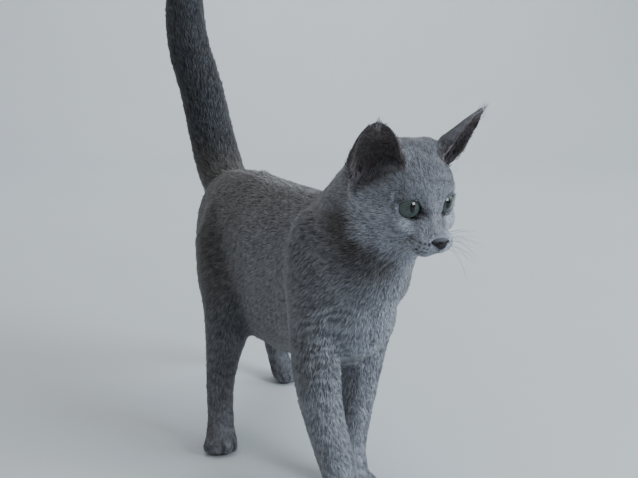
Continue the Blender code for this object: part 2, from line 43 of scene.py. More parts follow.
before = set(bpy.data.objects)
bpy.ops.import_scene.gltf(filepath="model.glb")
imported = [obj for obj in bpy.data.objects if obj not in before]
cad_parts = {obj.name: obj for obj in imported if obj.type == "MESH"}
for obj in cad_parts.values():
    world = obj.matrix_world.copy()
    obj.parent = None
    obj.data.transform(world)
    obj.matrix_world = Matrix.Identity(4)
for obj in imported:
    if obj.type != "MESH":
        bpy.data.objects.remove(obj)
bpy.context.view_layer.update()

SIDES = {"left": 1.0, "right": -1.0}
PAWS = ("forepaw_left", "forepaw_right", "hindfoot_left", "hindfoot_right")
MUSCLE = (
    "head neck chest belly rump shoulder_left shoulder_right thigh_left thigh_right "
    "tail_root tail_middle tail_tip foreleg_left foreleg_right forepaw_left forepaw_right "
    "shank_left shank_right hindfoot_left hindfoot_right ear_left ear_right"
).split()
FILLERS = ("eye_left", "eye_right", "nose")

# ------------------------------------------------------------------ measures, in metres
# The head's own frame has X to the animal's left, Y back and Z up, from between the eyeballs.
NOSE_FORWARD = 0.0269
NOSE_BELOW = 0.0172

EYE_SHIFT = 0.0010                 # the eyeballs stand this far out and forward of their nodes
EYE_TURN = math.radians(6.0)       # each lid opening faces this far out
EYE_SLANT = math.radians(24.0)     # its outer corner is raised by this turn
EYE_HALF = (0.0081, 0.0063)        # half the opening, along and across
OUTER_CORNER = 0.95                # below 1 the opening reaches further out
INNER_CORNER = 0.76                # below 1 it reaches further towards the nose
AWAY = 9.0                         # stands for a place nowhere near a lid opening
EYE_SURROUNDS = 0.018              # lids, rims and bare skin end within this of the eyeball's middle
GAZE_ASIDE = math.radians(-7.0)    # both pupils look this far round, minus being to the right
GAZE_UP = math.radians(15.0)
PUPIL_HALF_MM = (2.0, 3.5)
CORNEA_IOR = 1.376

CUT_SWELL = 0.00034                # closes the cuts between the flesh pieces
EAR_THINNING = 0.0003
FLESH_ROUNDS = 34                  # rounds of smoothing: joined flesh, coat depth, ear cups
DEPTH_ROUNDS = 4
CUP_ROUNDS = 24
CLEFT_DEPTH = 0.0014               # between the toes
FOLD_DEPTH = 0.0008                # of the wrinkles over the elbows
FOLD_STEP = 0.0066                 # from one wrinkle to the next
STRIPE_STEP = 0.0078               # from one forehead stripe to the next
NOSE_BED = 0.0012                  # the skin lies this much lower under the leather
NOSE_TILT = math.radians(-24.0)

# The ears, in the head's own frame; sideways places are given for the left one.
EAR_ROOT = (0.0256, 0.0232, 0.0010)
EAR_TIPS = {"right": (0.0437, 0.0092, 0.0572), "left": (0.0432, 0.0092, 0.0617)}
EAR_OPENING = (0.47, -0.88, 0.05)
EAR_HALF_WIDTH = 0.0192
EAR_DEPTH = 0.0215
EAR_WALL = 0.0022

ANCHOR_SOFTNESS = 0.005            # nearer than this an anchor's pull no longer grows
TUFT_LENGTH_SHARE = 0.85           # the tufts' length and width are these shares of the anchors'
TUFT_WIDTH_SHARE = 0.55
COVER = 4.05                       # how many tufts lie over each spot of skin
TUFTS_A_PIECE = 48000
TUFT_CORNERS = 4
TUFT_MIDDLE = 0.42                 # a tuft is broadest at this share of its length
TUFT_ARCH = 0.66                   # and has risen to this share of its height there
TUFT_ROOT = 0.0004                 # how deep it starts in the skin
TUFT_ROUND = 0.45                  # how far its shading turns to its sides and tip
LEAST_HEIGHT = 0.0002
FLOOR_GAP = 0.0001                 # no hair goes lower than this
LOCK_CELL = 0.012                  # within it a lock keeps one direction
RUFFLE = (0.49, 0.23, 0.935)       # where a few locks stand up on the rump, as shares of its box
RUFFLE_HEIGHT = 0.0065
RUFFLE_REACH = 0.0045
RUFF_REACH = 0.0035
PATCH = 0.003                      # each tuft's share of the unwrapped map, across
GUIDE_TRIANGLES = 9000.0           # of the coarse skin that the map is made on
WHISKERS_A_SIDE = 18
EAR_TIP_HAIRS = 34

BLACK = (0.0, 0.0, 0.0, 1.0)
RIM_COLOUR = "#1b191c"
# Inner ear colour, also used to paint the shade on the hair in and below the ear cups.
INNER_EAR_AND_SHADE_COLOUR = "#5f5657"
EAR_SHADOW_COLOUR = "#332c2e"
PAD_COLOUR = "#4a4347"
IRIS_FIBRES = ("#252b2a", "#4c5553")
IRIS_PALE = "#5c6664"
IRIS_EDGE = "#17181a"
# The eyeball's inner corner: partly the dark third eyelid, partly painted shade.
EYE_CORNER_SHADE = "#0b0b0d"
PUPIL_COLOUR = "#020203"
NOSE_DARK = "#1b1b20"
# The nose's top is painted lighter in this colour: a painted sheen.
NOSE_SHEEN = "#6a6d76"
NOSTRIL_COLOUR = "#08080a"
WHISKER_COLOURS = ("#55565a", "#8b8c90")
FLOOR_CLOUD = "#cad2d8"

CAMERA_FROM_ORIGIN = (-0.3681, -0.7866, 0.3660)
CAMERA_TURN = (77.63, 0.0, -27.3)
CAMERA_LENS = 59.53
FLOOR_HALF_WIDTH = 4.0
FLOOR_FRONT = -4.0
SWEEP_START = 1.6                  # the floor bends up into the wall from here
SWEEP_RADIUS = 0.8
WALL_TOP = 3.5
FLOOR_BELOW = 0.0002
AIR_COLOUR = (0.93, 0.90, 0.86, 1.0)
AIR_STRENGTH = 0.46
# Name, place, aim, size, watts and colour of each light.
LIGHTS = (
    ("window", (0.85, -1.43, 0.86), (0.0, -0.15, 0.2), (0.8, 0.55), 29.0, (0.86, 0.94, 1.0)),
    ("side", (1.7, -0.1, 1.0), (0.0, 0.0, 0.18), (1.3, 1.0), 8.0, (0.93, 0.97, 1.0)),
    ("top", (0.2, 0.3, 2.2), (0.0, 0.0, 0.1), (1.4, 1.4), 12.0, (0.94, 0.97, 1.0)),
    ("wall", (0.6, 1.0, 1.9), (1.0, 2.6, 0.7), (1.6, 0.8), 22.0, (0.92, 0.96, 1.0)),
)


# ------------------------------------------------------------------ settings
class KittenSizes(bpy.types.PropertyGroup):
    """Sizes of the skin and the coat."""

    skin_voxel: bpy.props.FloatProperty(
        name="Skin grain",
        description="Width of the cells in which the flesh pieces grow together",
        default=0.0010,
        unit="LENGTH",
    )
    skin_triangles: bpy.props.IntProperty(
        name="Skin triangles",
        description="Triangles kept in the finished skin",
        default=150000,
    )
    tuft_share: bpy.props.FloatProperty(
        name="Tuft share",
        description="Share of the full number of tufts that is grown",
        default=1.0,
        subtype="FACTOR",
    )
    eye_radius: bpy.props.FloatProperty(
        name="Eye radius",
        description="Radius of the eyeball",
        default=0.0096,
        unit="LENGTH",
    )
    whisker_radius: bpy.props.FloatProperty(
        name="Whisker radius",
        description="Half the thickness of a whisker at its root",
        default=0.00011,
        unit="LENGTH",
    )


class KittenColours(bpy.types.PropertyGroup):
    """Colours of coat, skin and eyes as sRGB hex values."""

    # The dark and light coat are the ends of the coat's tone: partly its own colour, partly painted
    # shade on the sides turned from the light and painted light on the lit front.
    coat_dark: bpy.props.StringProperty(
        name="Dark coat", description="Flank, rump and tail", default="#4c4a49"
    )
    coat_tail: bpy.props.StringProperty(
        name="Tail", description="Cooler dark grey of the tail", default="#41454b"
    )
    coat_light: bpy.props.StringProperty(
        name="Light coat", description="Face, chest and forelegs", default="#b3b9c6"
    )
    coat_tip: bpy.props.StringProperty(
        name="Silver tip", description="Tips of the guard hairs", default="#c3c9d6"
    )
    iris: bpy.props.StringProperty(
        name="Iris", description="Main colour of the iris", default="#3b4441"
    )
    nose: bpy.props.StringProperty(
        name="Nose leather", description="Slate nose leather", default="#2e2e34"
    )
    floor: bpy.props.StringProperty(
        name="Floor", description="Plain pale floor", default="#d0d8de"
    )


def sizes():
    """The add-on's sizes, as set in the scene."""
    return bpy.context.scene.kitten_sizes


def colours():
    """The add-on's colours, as set in the scene."""
    return bpy.context.scene.kitten_colours


def linear(hex_value):
    """An sRGB hex value as the linear colour that shaders take."""
    made = []
    for at in (1, 3, 5):
        value = int(hex_value[at:at + 2], 16) / 255.0
        made.append(value / 12.92 if value <= 0.04045 else ((value + 0.055) / 1.055) ** 2.4)
    return (*made, 1.0)


# ------------------------------------------------------------------ mesh helpers
def link(thing):
    """Put an object in the scene and hand it back."""
    bpy.context.scene.collection.objects.link(thing)
    return thing


def mesh_object(name, vertices, faces):
    mesh = bpy.data.meshes.new(name)
    mesh.from_pydata([tuple(v) for v in vertices], [], faces)
    mesh.update()
    return link(bpy.data.objects.new(name, mesh))


def triangles_object(name, vertices, triangles):
    """An object from numpy arrays of points and triangles."""
    mesh = bpy.data.meshes.new(name)
    mesh.vertices.add(len(vertices))
    mesh.vertices.foreach_set("co", np.ascontiguousarray(vertices, np.float32).ravel())
    mesh.loops.add(len(triangles) * 3)
    mesh.loops.foreach_set("vertex_index", np.ascontiguousarray(triangles, np.int32).ravel())
    mesh.polygons.add(len(triangles))
    mesh.polygons.foreach_set("loop_start", np.arange(0, len(triangles) * 3, 3, dtype=np.int32))
    mesh.update(calc_edges=True)
    mesh.validate()
    return link(bpy.data.objects.new(name, mesh))


def read_vertices(mesh, key):
    out = np.empty(len(mesh.vertices) * 3, np.float32)
    mesh.vertices.foreach_get(key, out)
    return out.reshape(-1, 3).astype(float)


def points_of(mesh):
    return read_vertices(mesh, "co")


def normals_of(mesh):
    return read_vertices(mesh, "normal")


def triangles_of(mesh):
    """Rows of three point numbers, one row a triangle."""
    mesh.calc_loop_triangles()
    out = np.empty(len(mesh.loop_triangles) * 3, np.int32)
    mesh.loop_triangles.foreach_get("vertices", out)
    return out.reshape(-1, 3)


def set_points(mesh, points):
    mesh.vertices.foreach_set("co", np.ascontiguousarray(points, np.float32).ravel())
    mesh.update()


def set_attribute(mesh, name, values):
    """Store one value a point under a name, for the materials."""
    made = mesh.attributes.get(name) or mesh.attributes.new(name, "FLOAT", "POINT")
    made.data.foreach_set("value", np.ascontiguousarray(values, np.float32))


def bake_modifiers(thing):
    """Replace the object's mesh with what its modifiers make of it."""
    graph = bpy.context.evaluated_depsgraph_get()
    result = bpy.data.meshes.new_from_object(thing.evaluated_get(graph))
    thing.modifiers.clear()
    thing.data = result


def unit(vectors):
    return vectors / np.maximum(np.linalg.norm(vectors, axis=-1, keepdims=True), 1e-12)


def smooth_step(value, low, high):
    """0 up to low, 1 from high on, an even curve between."""
    t = np.clip((value - low) / (high - low), 0.0, 1.0)
    return t * t * (3.0 - 2.0 * t)


def fade(value, low, high):
    """1 up to low, 0 from high on."""
    return 1.0 - smooth_step(value, low, high)


def bell(gap, breadth):
    """1 where the gap is 0, and next to nothing at twice the breadth."""
    return np.exp(-(gap / breadth) ** 2)


# ------------------------------------------------------------------ places on the animal
def centre_of(node):
    """Middle of the node's box."""
    low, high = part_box(node)
    return np.array((low + high) / 2.0)


def head_frame():
    """Rows are the head's own X, Y and Z axes; the origin lies between the eyeballs.

    The face looks along -Y. The nose leather lies NOSE_FORWARD ahead of the eyeballs'
    middle and NOSE_BELOW under it, which fixes how far the head is bent down.
    """
    left, right, nose = (centre_of(n) for n in ("eye_left", "eye_right", "nose"))
    origin = (left + right) / 2.0
    across = unit(left - right)
    down_forward = nose - origin
    down_forward = unit(down_forward - across * down_forward.dot(across))
    square = np.cross(down_forward, across)
    angle = math.atan2(NOSE_BELOW, NOSE_FORWARD)
    forward = down_forward * math.cos(angle) + square * math.sin(angle)
    up = np.cross(across, -forward)
    if up[2] < 0.0:
        raise RuntimeError("the head's axes are turned over")
    return origin, np.array([across, -forward, up])


HEAD_ORIGIN, HEAD_AXES = head_frame()


def to_head(points):
    """Points given in the head's own frame."""
    return (np.asarray(points) - HEAD_ORIGIN) @ HEAD_AXES.T


def from_head(points):
    """Points of the head's own frame given in the scene's."""
    return np.asarray(points) @ HEAD_AXES + HEAD_ORIGIN


def head_direction(vector):
    """A direction of the head's own frame given in the scene's."""
    return np.asarray(vector, float) @ HEAD_AXES


def in_box(node, share):
    """The place at these shares of the node's box."""
    low, high = (np.array(corner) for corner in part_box(node))
    return low + (high - low) * np.array(share)


def near_box(node, points, margin):
    """Which points lie in the node's box, or within margin of it."""
    low, high = (np.array(corner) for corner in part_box(node))
    return np.all((points > low - margin) & (points < high + margin), axis=1)


def anchors():
    """Where the coat's lie, depth, length and tone are set: between them they blend.

    Each is (point, lie, coat depth mm, tuft length mm, tuft width mm, tone 0 dark to 1 light). That last
    is partly the coat's own lightness and partly painted light and shade.
    """
    rows = []

    def body(node, share, lie, depth, length, width, tone_and_shade):
        rows.append((in_box(node, share), np.array(lie, float), depth, length, width, tone_and_shade))

    def face(point, lie, depth, length, width, tone_and_shade):
        for sign in (1.0, -1.0) if point[0] else (1.0,):
            place = (point[0] * sign, point[1], point[2])
            way = (lie[0] * sign, lie[1], lie[2])
            rows.append((from_head(place), head_direction(way), depth, length, width, tone_and_shade))

    # Darker over the back, flanks, rump, thighs and tail and lighter on the chest, forelegs and paws:
    # partly the coat's own colour, partly painted shade on the sides turned from the window light and
    # painted light on the front under it.
    body("neck", (0.5, 0.75, 0.75), (0.0, 0.85, -0.5), 2.2, 7.0, 0.95, 0.28)
    body("neck", (0.5, 0.2, 0.3), (0.0, 0.55, -0.85), 2.2, 7.0, 0.95, 0.80)
    body("chest", (0.5, 0.15, 0.75), (0.0, 0.5, -0.9), 2.4, 7.5, 0.95, 0.85)
    body("chest", (0.5, 0.1, 0.3), (0.0, 0.4, -0.9), 2.2, 7.0, 0.95, 0.75)
    body("chest", (0.5, 0.8, 0.9), (0.0, 1.0, -0.3), 2.2, 7.5, 1.0, 0.30)
    body("chest", (0.5, 0.8, 0.2), (0.0, 1.0, -0.3), 2.2, 7.0, 1.0, 0.30)
    for side, sign in SIDES.items():
        # The right shoulder, on the side turned from the window light, is painted darker than the left:
        # painted shade.
        light = 0.30 if side == "right" else 0.60
        body("shoulder_" + side, (0.5, 0.5, 0.8), (0.0, 0.55, -0.8), 2.2, 7.0, 0.95, light)
        body("shoulder_" + side, (0.5, 0.4, 0.2), (0.0, 0.25, -1.0), 1.9, 6.0, 0.9, light)
        body("foreleg_" + side, (0.5, 0.5, 0.7), (0.0, 0.1, -1.0), 1.5, 5.0, 0.8, 0.56)
        body("foreleg_" + side, (0.5, 0.5, 0.2), (0.0, -0.1, -1.0), 1.2, 4.0, 0.7, 0.50)
        body("forepaw_" + side, (0.5, 0.35, 0.6), (0.0, -0.9, -0.5), 0.9, 2.8, 0.6, 0.82)
        body("thigh_" + side, (0.5, 0.6, 0.7), (0.0, 0.75, -0.7), 2.2, 7.0, 1.0, 0.08)
        body("thigh_" + side, (0.5, 0.4, 0.2), (0.0, 0.45, -0.9), 2.0, 6.5, 0.95, 0.14)
        body("shank_" + side, (0.5, 0.4, 0.6), (0.0, 0.35, -0.95), 1.5, 5.0, 0.85, 0.22)
        body("hindfoot_" + side, (0.5, 0.7, 0.7), (0.0, -0.15, -1.0), 1.2, 4.0, 0.75, 0.30)
        body("hindfoot_" + side, (0.5, 0.2, 0.15), (-0.2, -0.9, -0.4), 0.9, 2.8, 0.6, 0.42)
    body("belly", (0.5, 0.5, 0.9), (0.0, 1.0, -0.2), 2.3, 8.0, 1.0, 0.20)
    body("belly", (0.5, 0.5, 0.2), (0.0, 1.0, -0.3), 2.3, 7.5, 1.0, 0.20)
    body("rump", (0.5, 0.3, 0.9), (0.0, 1.0, -0.25), 2.3, 8.0, 1.0, 0.10)
    body("rump", (0.5, 0.7, 0.6), (0.0, 0.9, -0.5), 2.3, 8.0, 1.0, 0.05)
    body("tail_root", (0.5, 0.4, 0.35), (0.0, 0.55, 0.85), 2.6, 7.5, 0.95, 0.0)
    body("tail_root", (0.5, 0.7, 0.8), (0.0, 0.4, 0.92), 2.6, 7.5, 0.95, 0.0)
    body("tail_middle", (0.5, 0.5, 0.5), (-0.05, 0.3, 0.95), 2.6, 7.0, 0.9, 0.0)
    body("tail_tip", (0.5, 0.5, 0.3), (0.0, 0.1, 1.0), 2.4, 7.0, 0.9, 0.0)
    body("tail_tip", (0.5, 0.5, 0.9), (0.0, 0.0, 1.0), 2.0, 6.0, 0.85, 0.02)

    # Lighter on the muzzle, cheeks and ruff, where the window light falls: partly painted light.
    face((0.0, -0.0180, -0.0100), (0.0, 0.5, 0.85), 0.6, 1.8, 0.45, 0.62)
    face((0.0, -0.0060, 0.0060), (0.0, 0.5, 0.85), 0.8, 2.6, 0.5, 0.52)
    face((0.0, 0.0060, 0.0220), (0.0, 0.85, 0.5), 1.1, 3.6, 0.6, 0.32)
    face((0.0, 0.0300, 0.0300), (0.0, 1.0, -0.1), 1.5, 4.6, 0.7, 0.36)
    face((0.0, 0.0520, 0.0100), (0.0, 0.85, -0.5), 2.0, 6.0, 0.85, 0.30)
    # Dark coat on the neck under each cheek and under the chin: painted shade under the head.
    face((0.0400, 0.0330, -0.0280), (0.2, 0.9, -0.5), 2.0, 6.0, 0.85, 0.0)
    face((0.0370, 0.0170, -0.0400), (0.2, 0.8, -0.6), 2.0, 6.0, 0.85, 0.0)
    face((0.0290, 0.0060, -0.0430), (0.1, 0.7, -0.7), 1.9, 5.5, 0.85, 0.05)
    face((0.0200, 0.0040, -0.0470), (0.1, 0.6, -0.8), 1.9, 5.5, 0.85, 0.12)
    face((0.0390, 0.0420, -0.0020), (0.3, 0.9, -0.2), 1.9, 5.5, 0.8, 0.35)
    face((0.0370, 0.0250, -0.0120), (0.4, 0.9, -0.2), 1.7, 5.0, 0.7, 0.85)
    face((0.0330, 0.0120, -0.0230), (0.4, 0.9, -0.3), 1.7, 5.0, 0.7, 0.95)
    face((0.0310, 0.0060, -0.0110), (0.45, 0.9, -0.3), 1.5, 4.6, 0.7, 0.92)
    face((0.0240, -0.0020, -0.0270), (0.4, 0.9, -0.3), 1.4, 4.2, 0.65, 0.95)
    face((0.0, -0.0100, -0.0350), (0.0, 0.85, -0.5), 0.8, 2.6, 0.5, 0.90)
    face((0.0120, -0.0180, -0.0230), (0.85, 0.5, -0.4), 0.7, 2.2, 0.45, 1.0)
    face((0.0190, -0.0080, -0.0140), (0.7, 0.65, -0.4), 0.9, 3.0, 0.5, 0.76)
    face((0.0270, 0.0040, 0.0040), (0.5, 0.85, 0.0), 1.0, 3.2, 0.55, 0.70)
    face((0.0150, -0.0040, 0.0120), (0.3, 0.55, 0.8), 0.8, 2.6, 0.5, 0.40)
    face((0.0250, 0.0200, 0.0280), (0.3, 0.35, 0.9), 1.1, 3.6, 0.6, 0.34)
    face((0.0340, 0.0180, 0.0400), (0.25, -0.2, 0.95), 0.25, 2.4, 0.5, 0.45)
    face((0.0420, 0.0100, 0.0560), (0.25, -0.2, 0.95), 0.2, 2.0, 0.45, 0.42)
    return rows


ANCHORS = anchors()


def coat_at(points):
    """Lie, depth, length, width and tone of the coat at each point, in metres and 0 to 1; the tone
    carries painted light and shade.
    """
    weight_sum = np.zeros(len(points))
    lie = np.zeros((len(points), 3))
    rest = np.zeros((len(points), 4))
    for place, way, depth, length, width, tone_and_shade in ANCHORS:
        gap = np.linalg.norm(points - place, axis=1)
        weight = 1.0 / (gap ** 2 + ANCHOR_SOFTNESS ** 2) ** 2
        weight_sum += weight
        lie += weight[:, None] * unit(way)
        rest += weight[:, None] * np.array([depth * 0.001, length * 0.001, width * 0.001, tone_and_shade])
    rest /= weight_sum[:, None]
    length, width = rest[:, 1] * TUFT_LENGTH_SHARE, rest[:, 2] * TUFT_WIDTH_SHARE
    return unit(lie), rest[:, 0], length, width, rest[:, 3]


# ------------------------------------------------------------------ the face's landmarks
def eye_centre(side):
    """Middle of the eyeball, brought forward in its socket so that it fills the lids."""
    return centre_of("eye_" + side) + head_direction((SIDES[side] * EYE_SHIFT, -EYE_SHIFT, 0.0))


def eye_axes(side):
    """Rows: along the opening (outwards), up across it, and the way the eye looks."""
    sign = SIDES[side]
    gaze = head_direction((sign * math.sin(EYE_TURN), -math.cos(EYE_TURN), 0.0))
    level = head_direction((sign * math.cos(EYE_TURN), math.sin(EYE_TURN), 0.0))
    up = head_direction((0.0, 0.0, 1.0))
    along = level * math.cos(EYE_SLANT) + up * math.sin(EYE_SLANT)
    across = up * math.cos(EYE_SLANT) - level * math.sin(EYE_SLANT)
    return np.array([along, across, gaze])


def eye_place(side, points):
    """Each point in the eye's own frame, and how far out of the lid opening it lies."""
    local = (points - eye_centre(side)) @ eye_axes(side).T
    a, b = local[:, 0] / EYE_HALF[0], local[:, 1] / EYE_HALF[1]
    a = a * np.where(a < 0.0, INNER_CORNER, OUTER_CORNER)
    reach = np.clip(np.abs(a), 0.0, 1.0)
    slim = 1.0 - np.where(a < 0.0, 0.68 * reach ** 1.6, 0.20 * reach ** 2)
    ratio = np.sqrt(a ** 2 + (b / slim) ** 2)
    ratio = np.where(local[:, 2] > 0.0, ratio, AWAY)
    return local, ratio


def lid_ratios(points):
    """How far out of a lid opening each point lies: 1 at its edge, AWAY beyond the eyes' surrounds."""
    nearest = np.full(len(points), AWAY)
    for side in SIDES:
        local, ratio = eye_place(side, points)
        near = np.linalg.norm(local, axis=1) < EYE_SURROUNDS
        nearest = np.where(near, np.minimum(nearest, ratio), nearest)
    return nearest


def polyline_distance(points, line):
    """Distance from each point to a line of corners."""
    best = np.full(len(points), 1.0)
    for start, end in zip(line, line[1:]):
        start, end = np.asarray(start), np.asarray(end)
        run = end - start
        t = np.clip(((points - start) @ run) / run.dot(run), 0.0, 1.0)
        best = np.minimum(best, np.linalg.norm(points - start - t[:, None] * run, axis=1))
    return best


def face_lines():
    """Mouth, philtrum and tear lines in the head's own frame."""
    lines = {"mouth": [], "tear": []}
    lines["mouth"].append([(0.0, -0.0300, -0.0215), (0.0, -0.0268, -0.0275)])
    for sign in SIDES.values():
        lines["mouth"].append([
            (0.0, -0.0268, -0.0275),
            (sign * 0.0045, -0.0245, -0.0296),
            (sign * 0.0085, -0.0200, -0.0294),
            (sign * 0.0118, -0.0135, -0.0280),
            (sign * 0.0140, -0.0070, -0.0268),
        ])
        lines["tear"].append([
            (sign * 0.0070, -0.0070, -0.0010),
            (sign * 0.0050, -0.0105, -0.0040),
            (sign * 0.0042, -0.0135, -0.0076),
            (sign * 0.0050, -0.0156, -0.0110),
        ])
    return lines


def flat_face(points):
    """Points of the face with most of their depth taken out, to measure across it."""
    return np.asarray(points) * np.array([1.0, 0.35, 1.0])


def line_gap(points, kind):
    """Distance across the face from each point, in the head's frame, to the nearest such line."""
    lines = face_lines()[kind]
    return np.min([polyline_distance(flat_face(points), flat_face(line)) for line in lines], axis=0)


def ruff_gap(points):
    """Distance to the edge of the ruff, where the cheek's longer hair overhangs the neck."""
    gap = np.full(len(points), 1.0)
    local = to_head(points)
    for sign in SIDES.values():
        edge = [(sign * x, y, z) for x, y, z in (
            (0.0387, 0.0360, -0.0140), (0.0387, 0.0230, -0.0250), (0.0360, 0.0140, -0.0310),
            (0.0320, 0.0080, -0.0330), (0.0260, 0.0020, -0.0345), (0.0190, -0.0020, -0.0370),
        )]
        gap = np.minimum(gap, polyline_distance(local, edge))
    return gap


def whisker_roots():
    """Rows of whisker roots on each side of the muzzle, in the head's own frame."""
    made = []
    for sign in SIDES.values():
        for row in range(4):
            for step in range(5 if row in (1, 2) else 4):
                x = 0.0075 + 0.0026 * step + 0.0006 * row
                y = -0.0237 + 0.0024 * step + 0.0010 * row
                z = -0.0185 - 0.0026 * row + 0.0004 * step
                made.append((sign * x, y, z))
    return made


# ------------------------------------------------------------------ skin
def round_off(bm):
    """Turn an ear's flat facets into round ones: split the faces and ease the corners."""
    for _ in range(2):
        bmesh.ops.subdivide_edges(bm, edges=bm.edges, cuts=1, use_grid_fill=True, smooth=0.9)
        bmesh.ops.triangulate(bm, faces=bm.faces)
    for _ in range(3):
        bmesh.ops.smooth_vert(
            bm, verts=bm.verts, factor=0.5, use_axis_x=True, use_axis_y=True, use_axis_z=True
        )


def flesh_union():
    """All pieces of flesh swollen by a hair so that the parting cuts close, as one mesh."""
    points, faces, first = [], [], 0
    for name in (*MUSCLE, *FILLERS):
        bm = bmesh.new()
        bm.from_mesh(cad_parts[name].data)
        bmesh.ops.remove_doubles(bm, verts=bm.verts, dist=1e-6)
        if name.startswith("ear"):
            round_off(bm)
        bm.normal_update()
        bm.verts.index_update()
        for vert in bm.verts:
            points.append(vert.co + vert.normal * CUT_SWELL)
        for face in bm.faces:
            faces.append([vert.index + first for vert in face.verts])
        first += len(bm.verts)
        bm.free()
    return mesh_object("kitten_skin", points, faces)


def keep_largest(thing):
    """Drop any small closed shell that was left inside when the pieces grew together."""
    mesh = thing.data
    edges = np.empty(len(mesh.edges) * 2, np.int32)
    mesh.edges.foreach_get("vertices", edges)
    edges = edges.reshape(-1, 2)
    label = np.arange(len(mesh.vertices))
    while True:
        low = np.minimum(label[edges[:, 0]], label[edges[:, 1]])
        fresh = label.copy()
        np.minimum.at(fresh, edges[:, 0], low)
        np.minimum.at(fresh, edges[:, 1], low)
        fresh = fresh[fresh]
        if np.array_equal(fresh, label):
            break
        label = fresh
    names, counts = np.unique(label, return_counts=True)
    if len(names) == 1:
        return
    wanted = names[np.argmax(counts)]
    bm = bmesh.new()
    bm.from_mesh(mesh)
    bm.verts.ensure_lookup_table()
    spare = [bm.verts[i] for i in np.nonzero(label != wanted)[0]]
    bmesh.ops.delete(bm, geom=spare, context="VERTS")
    bm.to_mesh(mesh)
    bm.free()


def ear_share(points):
    """1 on the blades of the ears, 0 elsewhere, soft between."""
    share = np.zeros(len(points))
    local = to_head(points)
    for side, sign in SIDES.items():
        inside = near_box("ear_" + side, points, 0.001)
        out = smooth_step(local[:, 2] + 0.35 * (np.abs(local[:, 0]) - 0.030), 0.026, 0.036)
        out = np.maximum(out, smooth_step(np.abs(local[:, 0]), 0.036, 0.040) * (local[:, 2] > 0.004))
        share = np.where(inside & (local[:, 0] * sign > 0.0), np.maximum(share, out), share)
    return share


def ear_axes(side):
    """Root, length and axes (up the ear, out of its opening, across it) in the head's frame."""
    sign = SIDES[side]
    root, tip, opening = (
        np.array(place) * (sign, 1.0, 1.0) for place in (EAR_ROOT, EAR_TIPS[side], EAR_OPENING)
    )
    along = unit(tip - root)
    out = unit(opening - along * opening.dot(along))
    return root, np.linalg.norm(tip - root), np.array([along, out, np.cross(along, out)])


def ear_inside(side, points):
    """Each point's height up the ear (1 at the tip), place ahead and aside, and the cup's reach."""
    root, tall, axes = ear_axes(side)
    local = (to_head(points) - root) @ axes.T
    t = local[:, 0] / tall
    level = np.clip(t, 0.0, 1.0)
    wide = np.maximum(EAR_HALF_WIDTH * np.sqrt(1.0 - level ** 2.5) - EAR_WALL * 0.6, 0.0004)
    deep = np.maximum(EAR_DEPTH * (0.08 + 0.92 * (1.0 - level) ** 0.85) - EAR_WALL * 0.6, 0.0004)
    return t, local[:, 1], local[:, 2], wide, deep


def ear_cup(points, normals):
    """Per point, each 0 to 1: inside an ear's cup, height up the ear, and the painted shade in and about
    the cup.
    """
    inside, height, shade = np.zeros((3, len(points)))
    level = to_head(points)[:, 0]
    for side, sign in SIDES.items():
        t, ahead, aside, wide, deep = ear_inside(side, points)
        ring = (aside / wide) ** 2 + (np.minimum(ahead, 0.0) / deep) ** 2
        lip = np.maximum(ahead, 0.0)
        facing = smooth_step(normals @ head_direction(ear_axes(side)[2][1]), -0.10, 0.30)
        blade = fade(ring, 1.25, 1.7) * facing * (t < 1.0)
        share = blade * fade(lip, 0.0030, 0.0045) * smooth_step(t, 0.06, 0.16)
        soft = blade * fade(lip, 0.0020, 0.0100) * smooth_step(t, -0.10, 0.22)
        mine = level * sign > 0.0
        inside = np.where(mine, share, inside)
        height = np.where(mine, np.clip(t, 0.0, 1.0), height)
        shade = np.where(mine, soft, shade)
    return inside, height, shade


def hollow_ears(points):
    """Lay the skull's skin back inside each ear, so that it runs up into the cup without a ledge."""
    level = to_head(points)[:, 0]
    for side, sign in SIDES.items():
        t, ahead, aside, wide, deep = ear_inside(side, points)
        bowl = -deep * np.sqrt(np.clip(1.0 - (aside / wide) ** 2, 0.0, 1.0))
        floor = bowl * smooth_step(t, -0.02, 0.42)
        within = (level * sign > 0.0) & (t > 0.0) & (t < 0.75) & (np.abs(aside) < wide)
        within &= (ahead > floor) & (ahead < 0.006)
        shift = np.where(within, floor - ahead, 0.0)
        points = points + shift[:, None] * head_direction(ear_axes(side)[2][1])
    return points


def soften(thing, iterations, weights):
    """Smooth the mesh for so many rounds, each point by its own weight from 0 to 1."""
    group = thing.vertex_groups.new(name="soften")
    levels = np.round(weights * 10).astype(int)
    for level in range(1, 11):
        chosen = np.nonzero(levels == level)[0]
        if len(chosen):
            group.add(chosen.tolist(), level / 10.0, "REPLACE")
    smooth = thing.modifiers.new("soften", "SMOOTH")
    smooth.factor = 0.5
    smooth.iterations = iterations
    smooth.vertex_group = group.name
    bake_modifiers(thing)
    thing.vertex_groups.clear()


def head_share(points):
    """1 on the face and skull, 0 on the body."""
    local = to_head(points)
    return fade(local[:, 1] + 0.6 * (-local[:, 2] - 0.02), 0.030, 0.050)


def paw_share(points):
    """1 on the feet, 0 above them."""
    share = np.zeros(len(points))
    for node in PAWS:
        inside = near_box(node, points, 0.003)
        share = np.where(inside, fade(points[:, 2], 0.018, 0.030), share)
    return share


def refine(thing, wanted, times):
    """Split the faces whose corners are wanted, a few times over."""
    for _ in range(times):
        points = points_of(thing.data)
        chosen = set(np.nonzero(wanted(points))[0].tolist())
        bm = bmesh.new()
        bm.from_mesh(thing.data)
        edges = [e for e in bm.edges if e.verts[0].index in chosen and e.verts[1].index in chosen]
        bmesh.ops.subdivide_edges(bm, edges=edges, cuts=1, use_grid_fill=True)
        bmesh.ops.triangulate(bm, faces=bm.faces)
        bm.to_mesh(thing.data)
        bm.free()


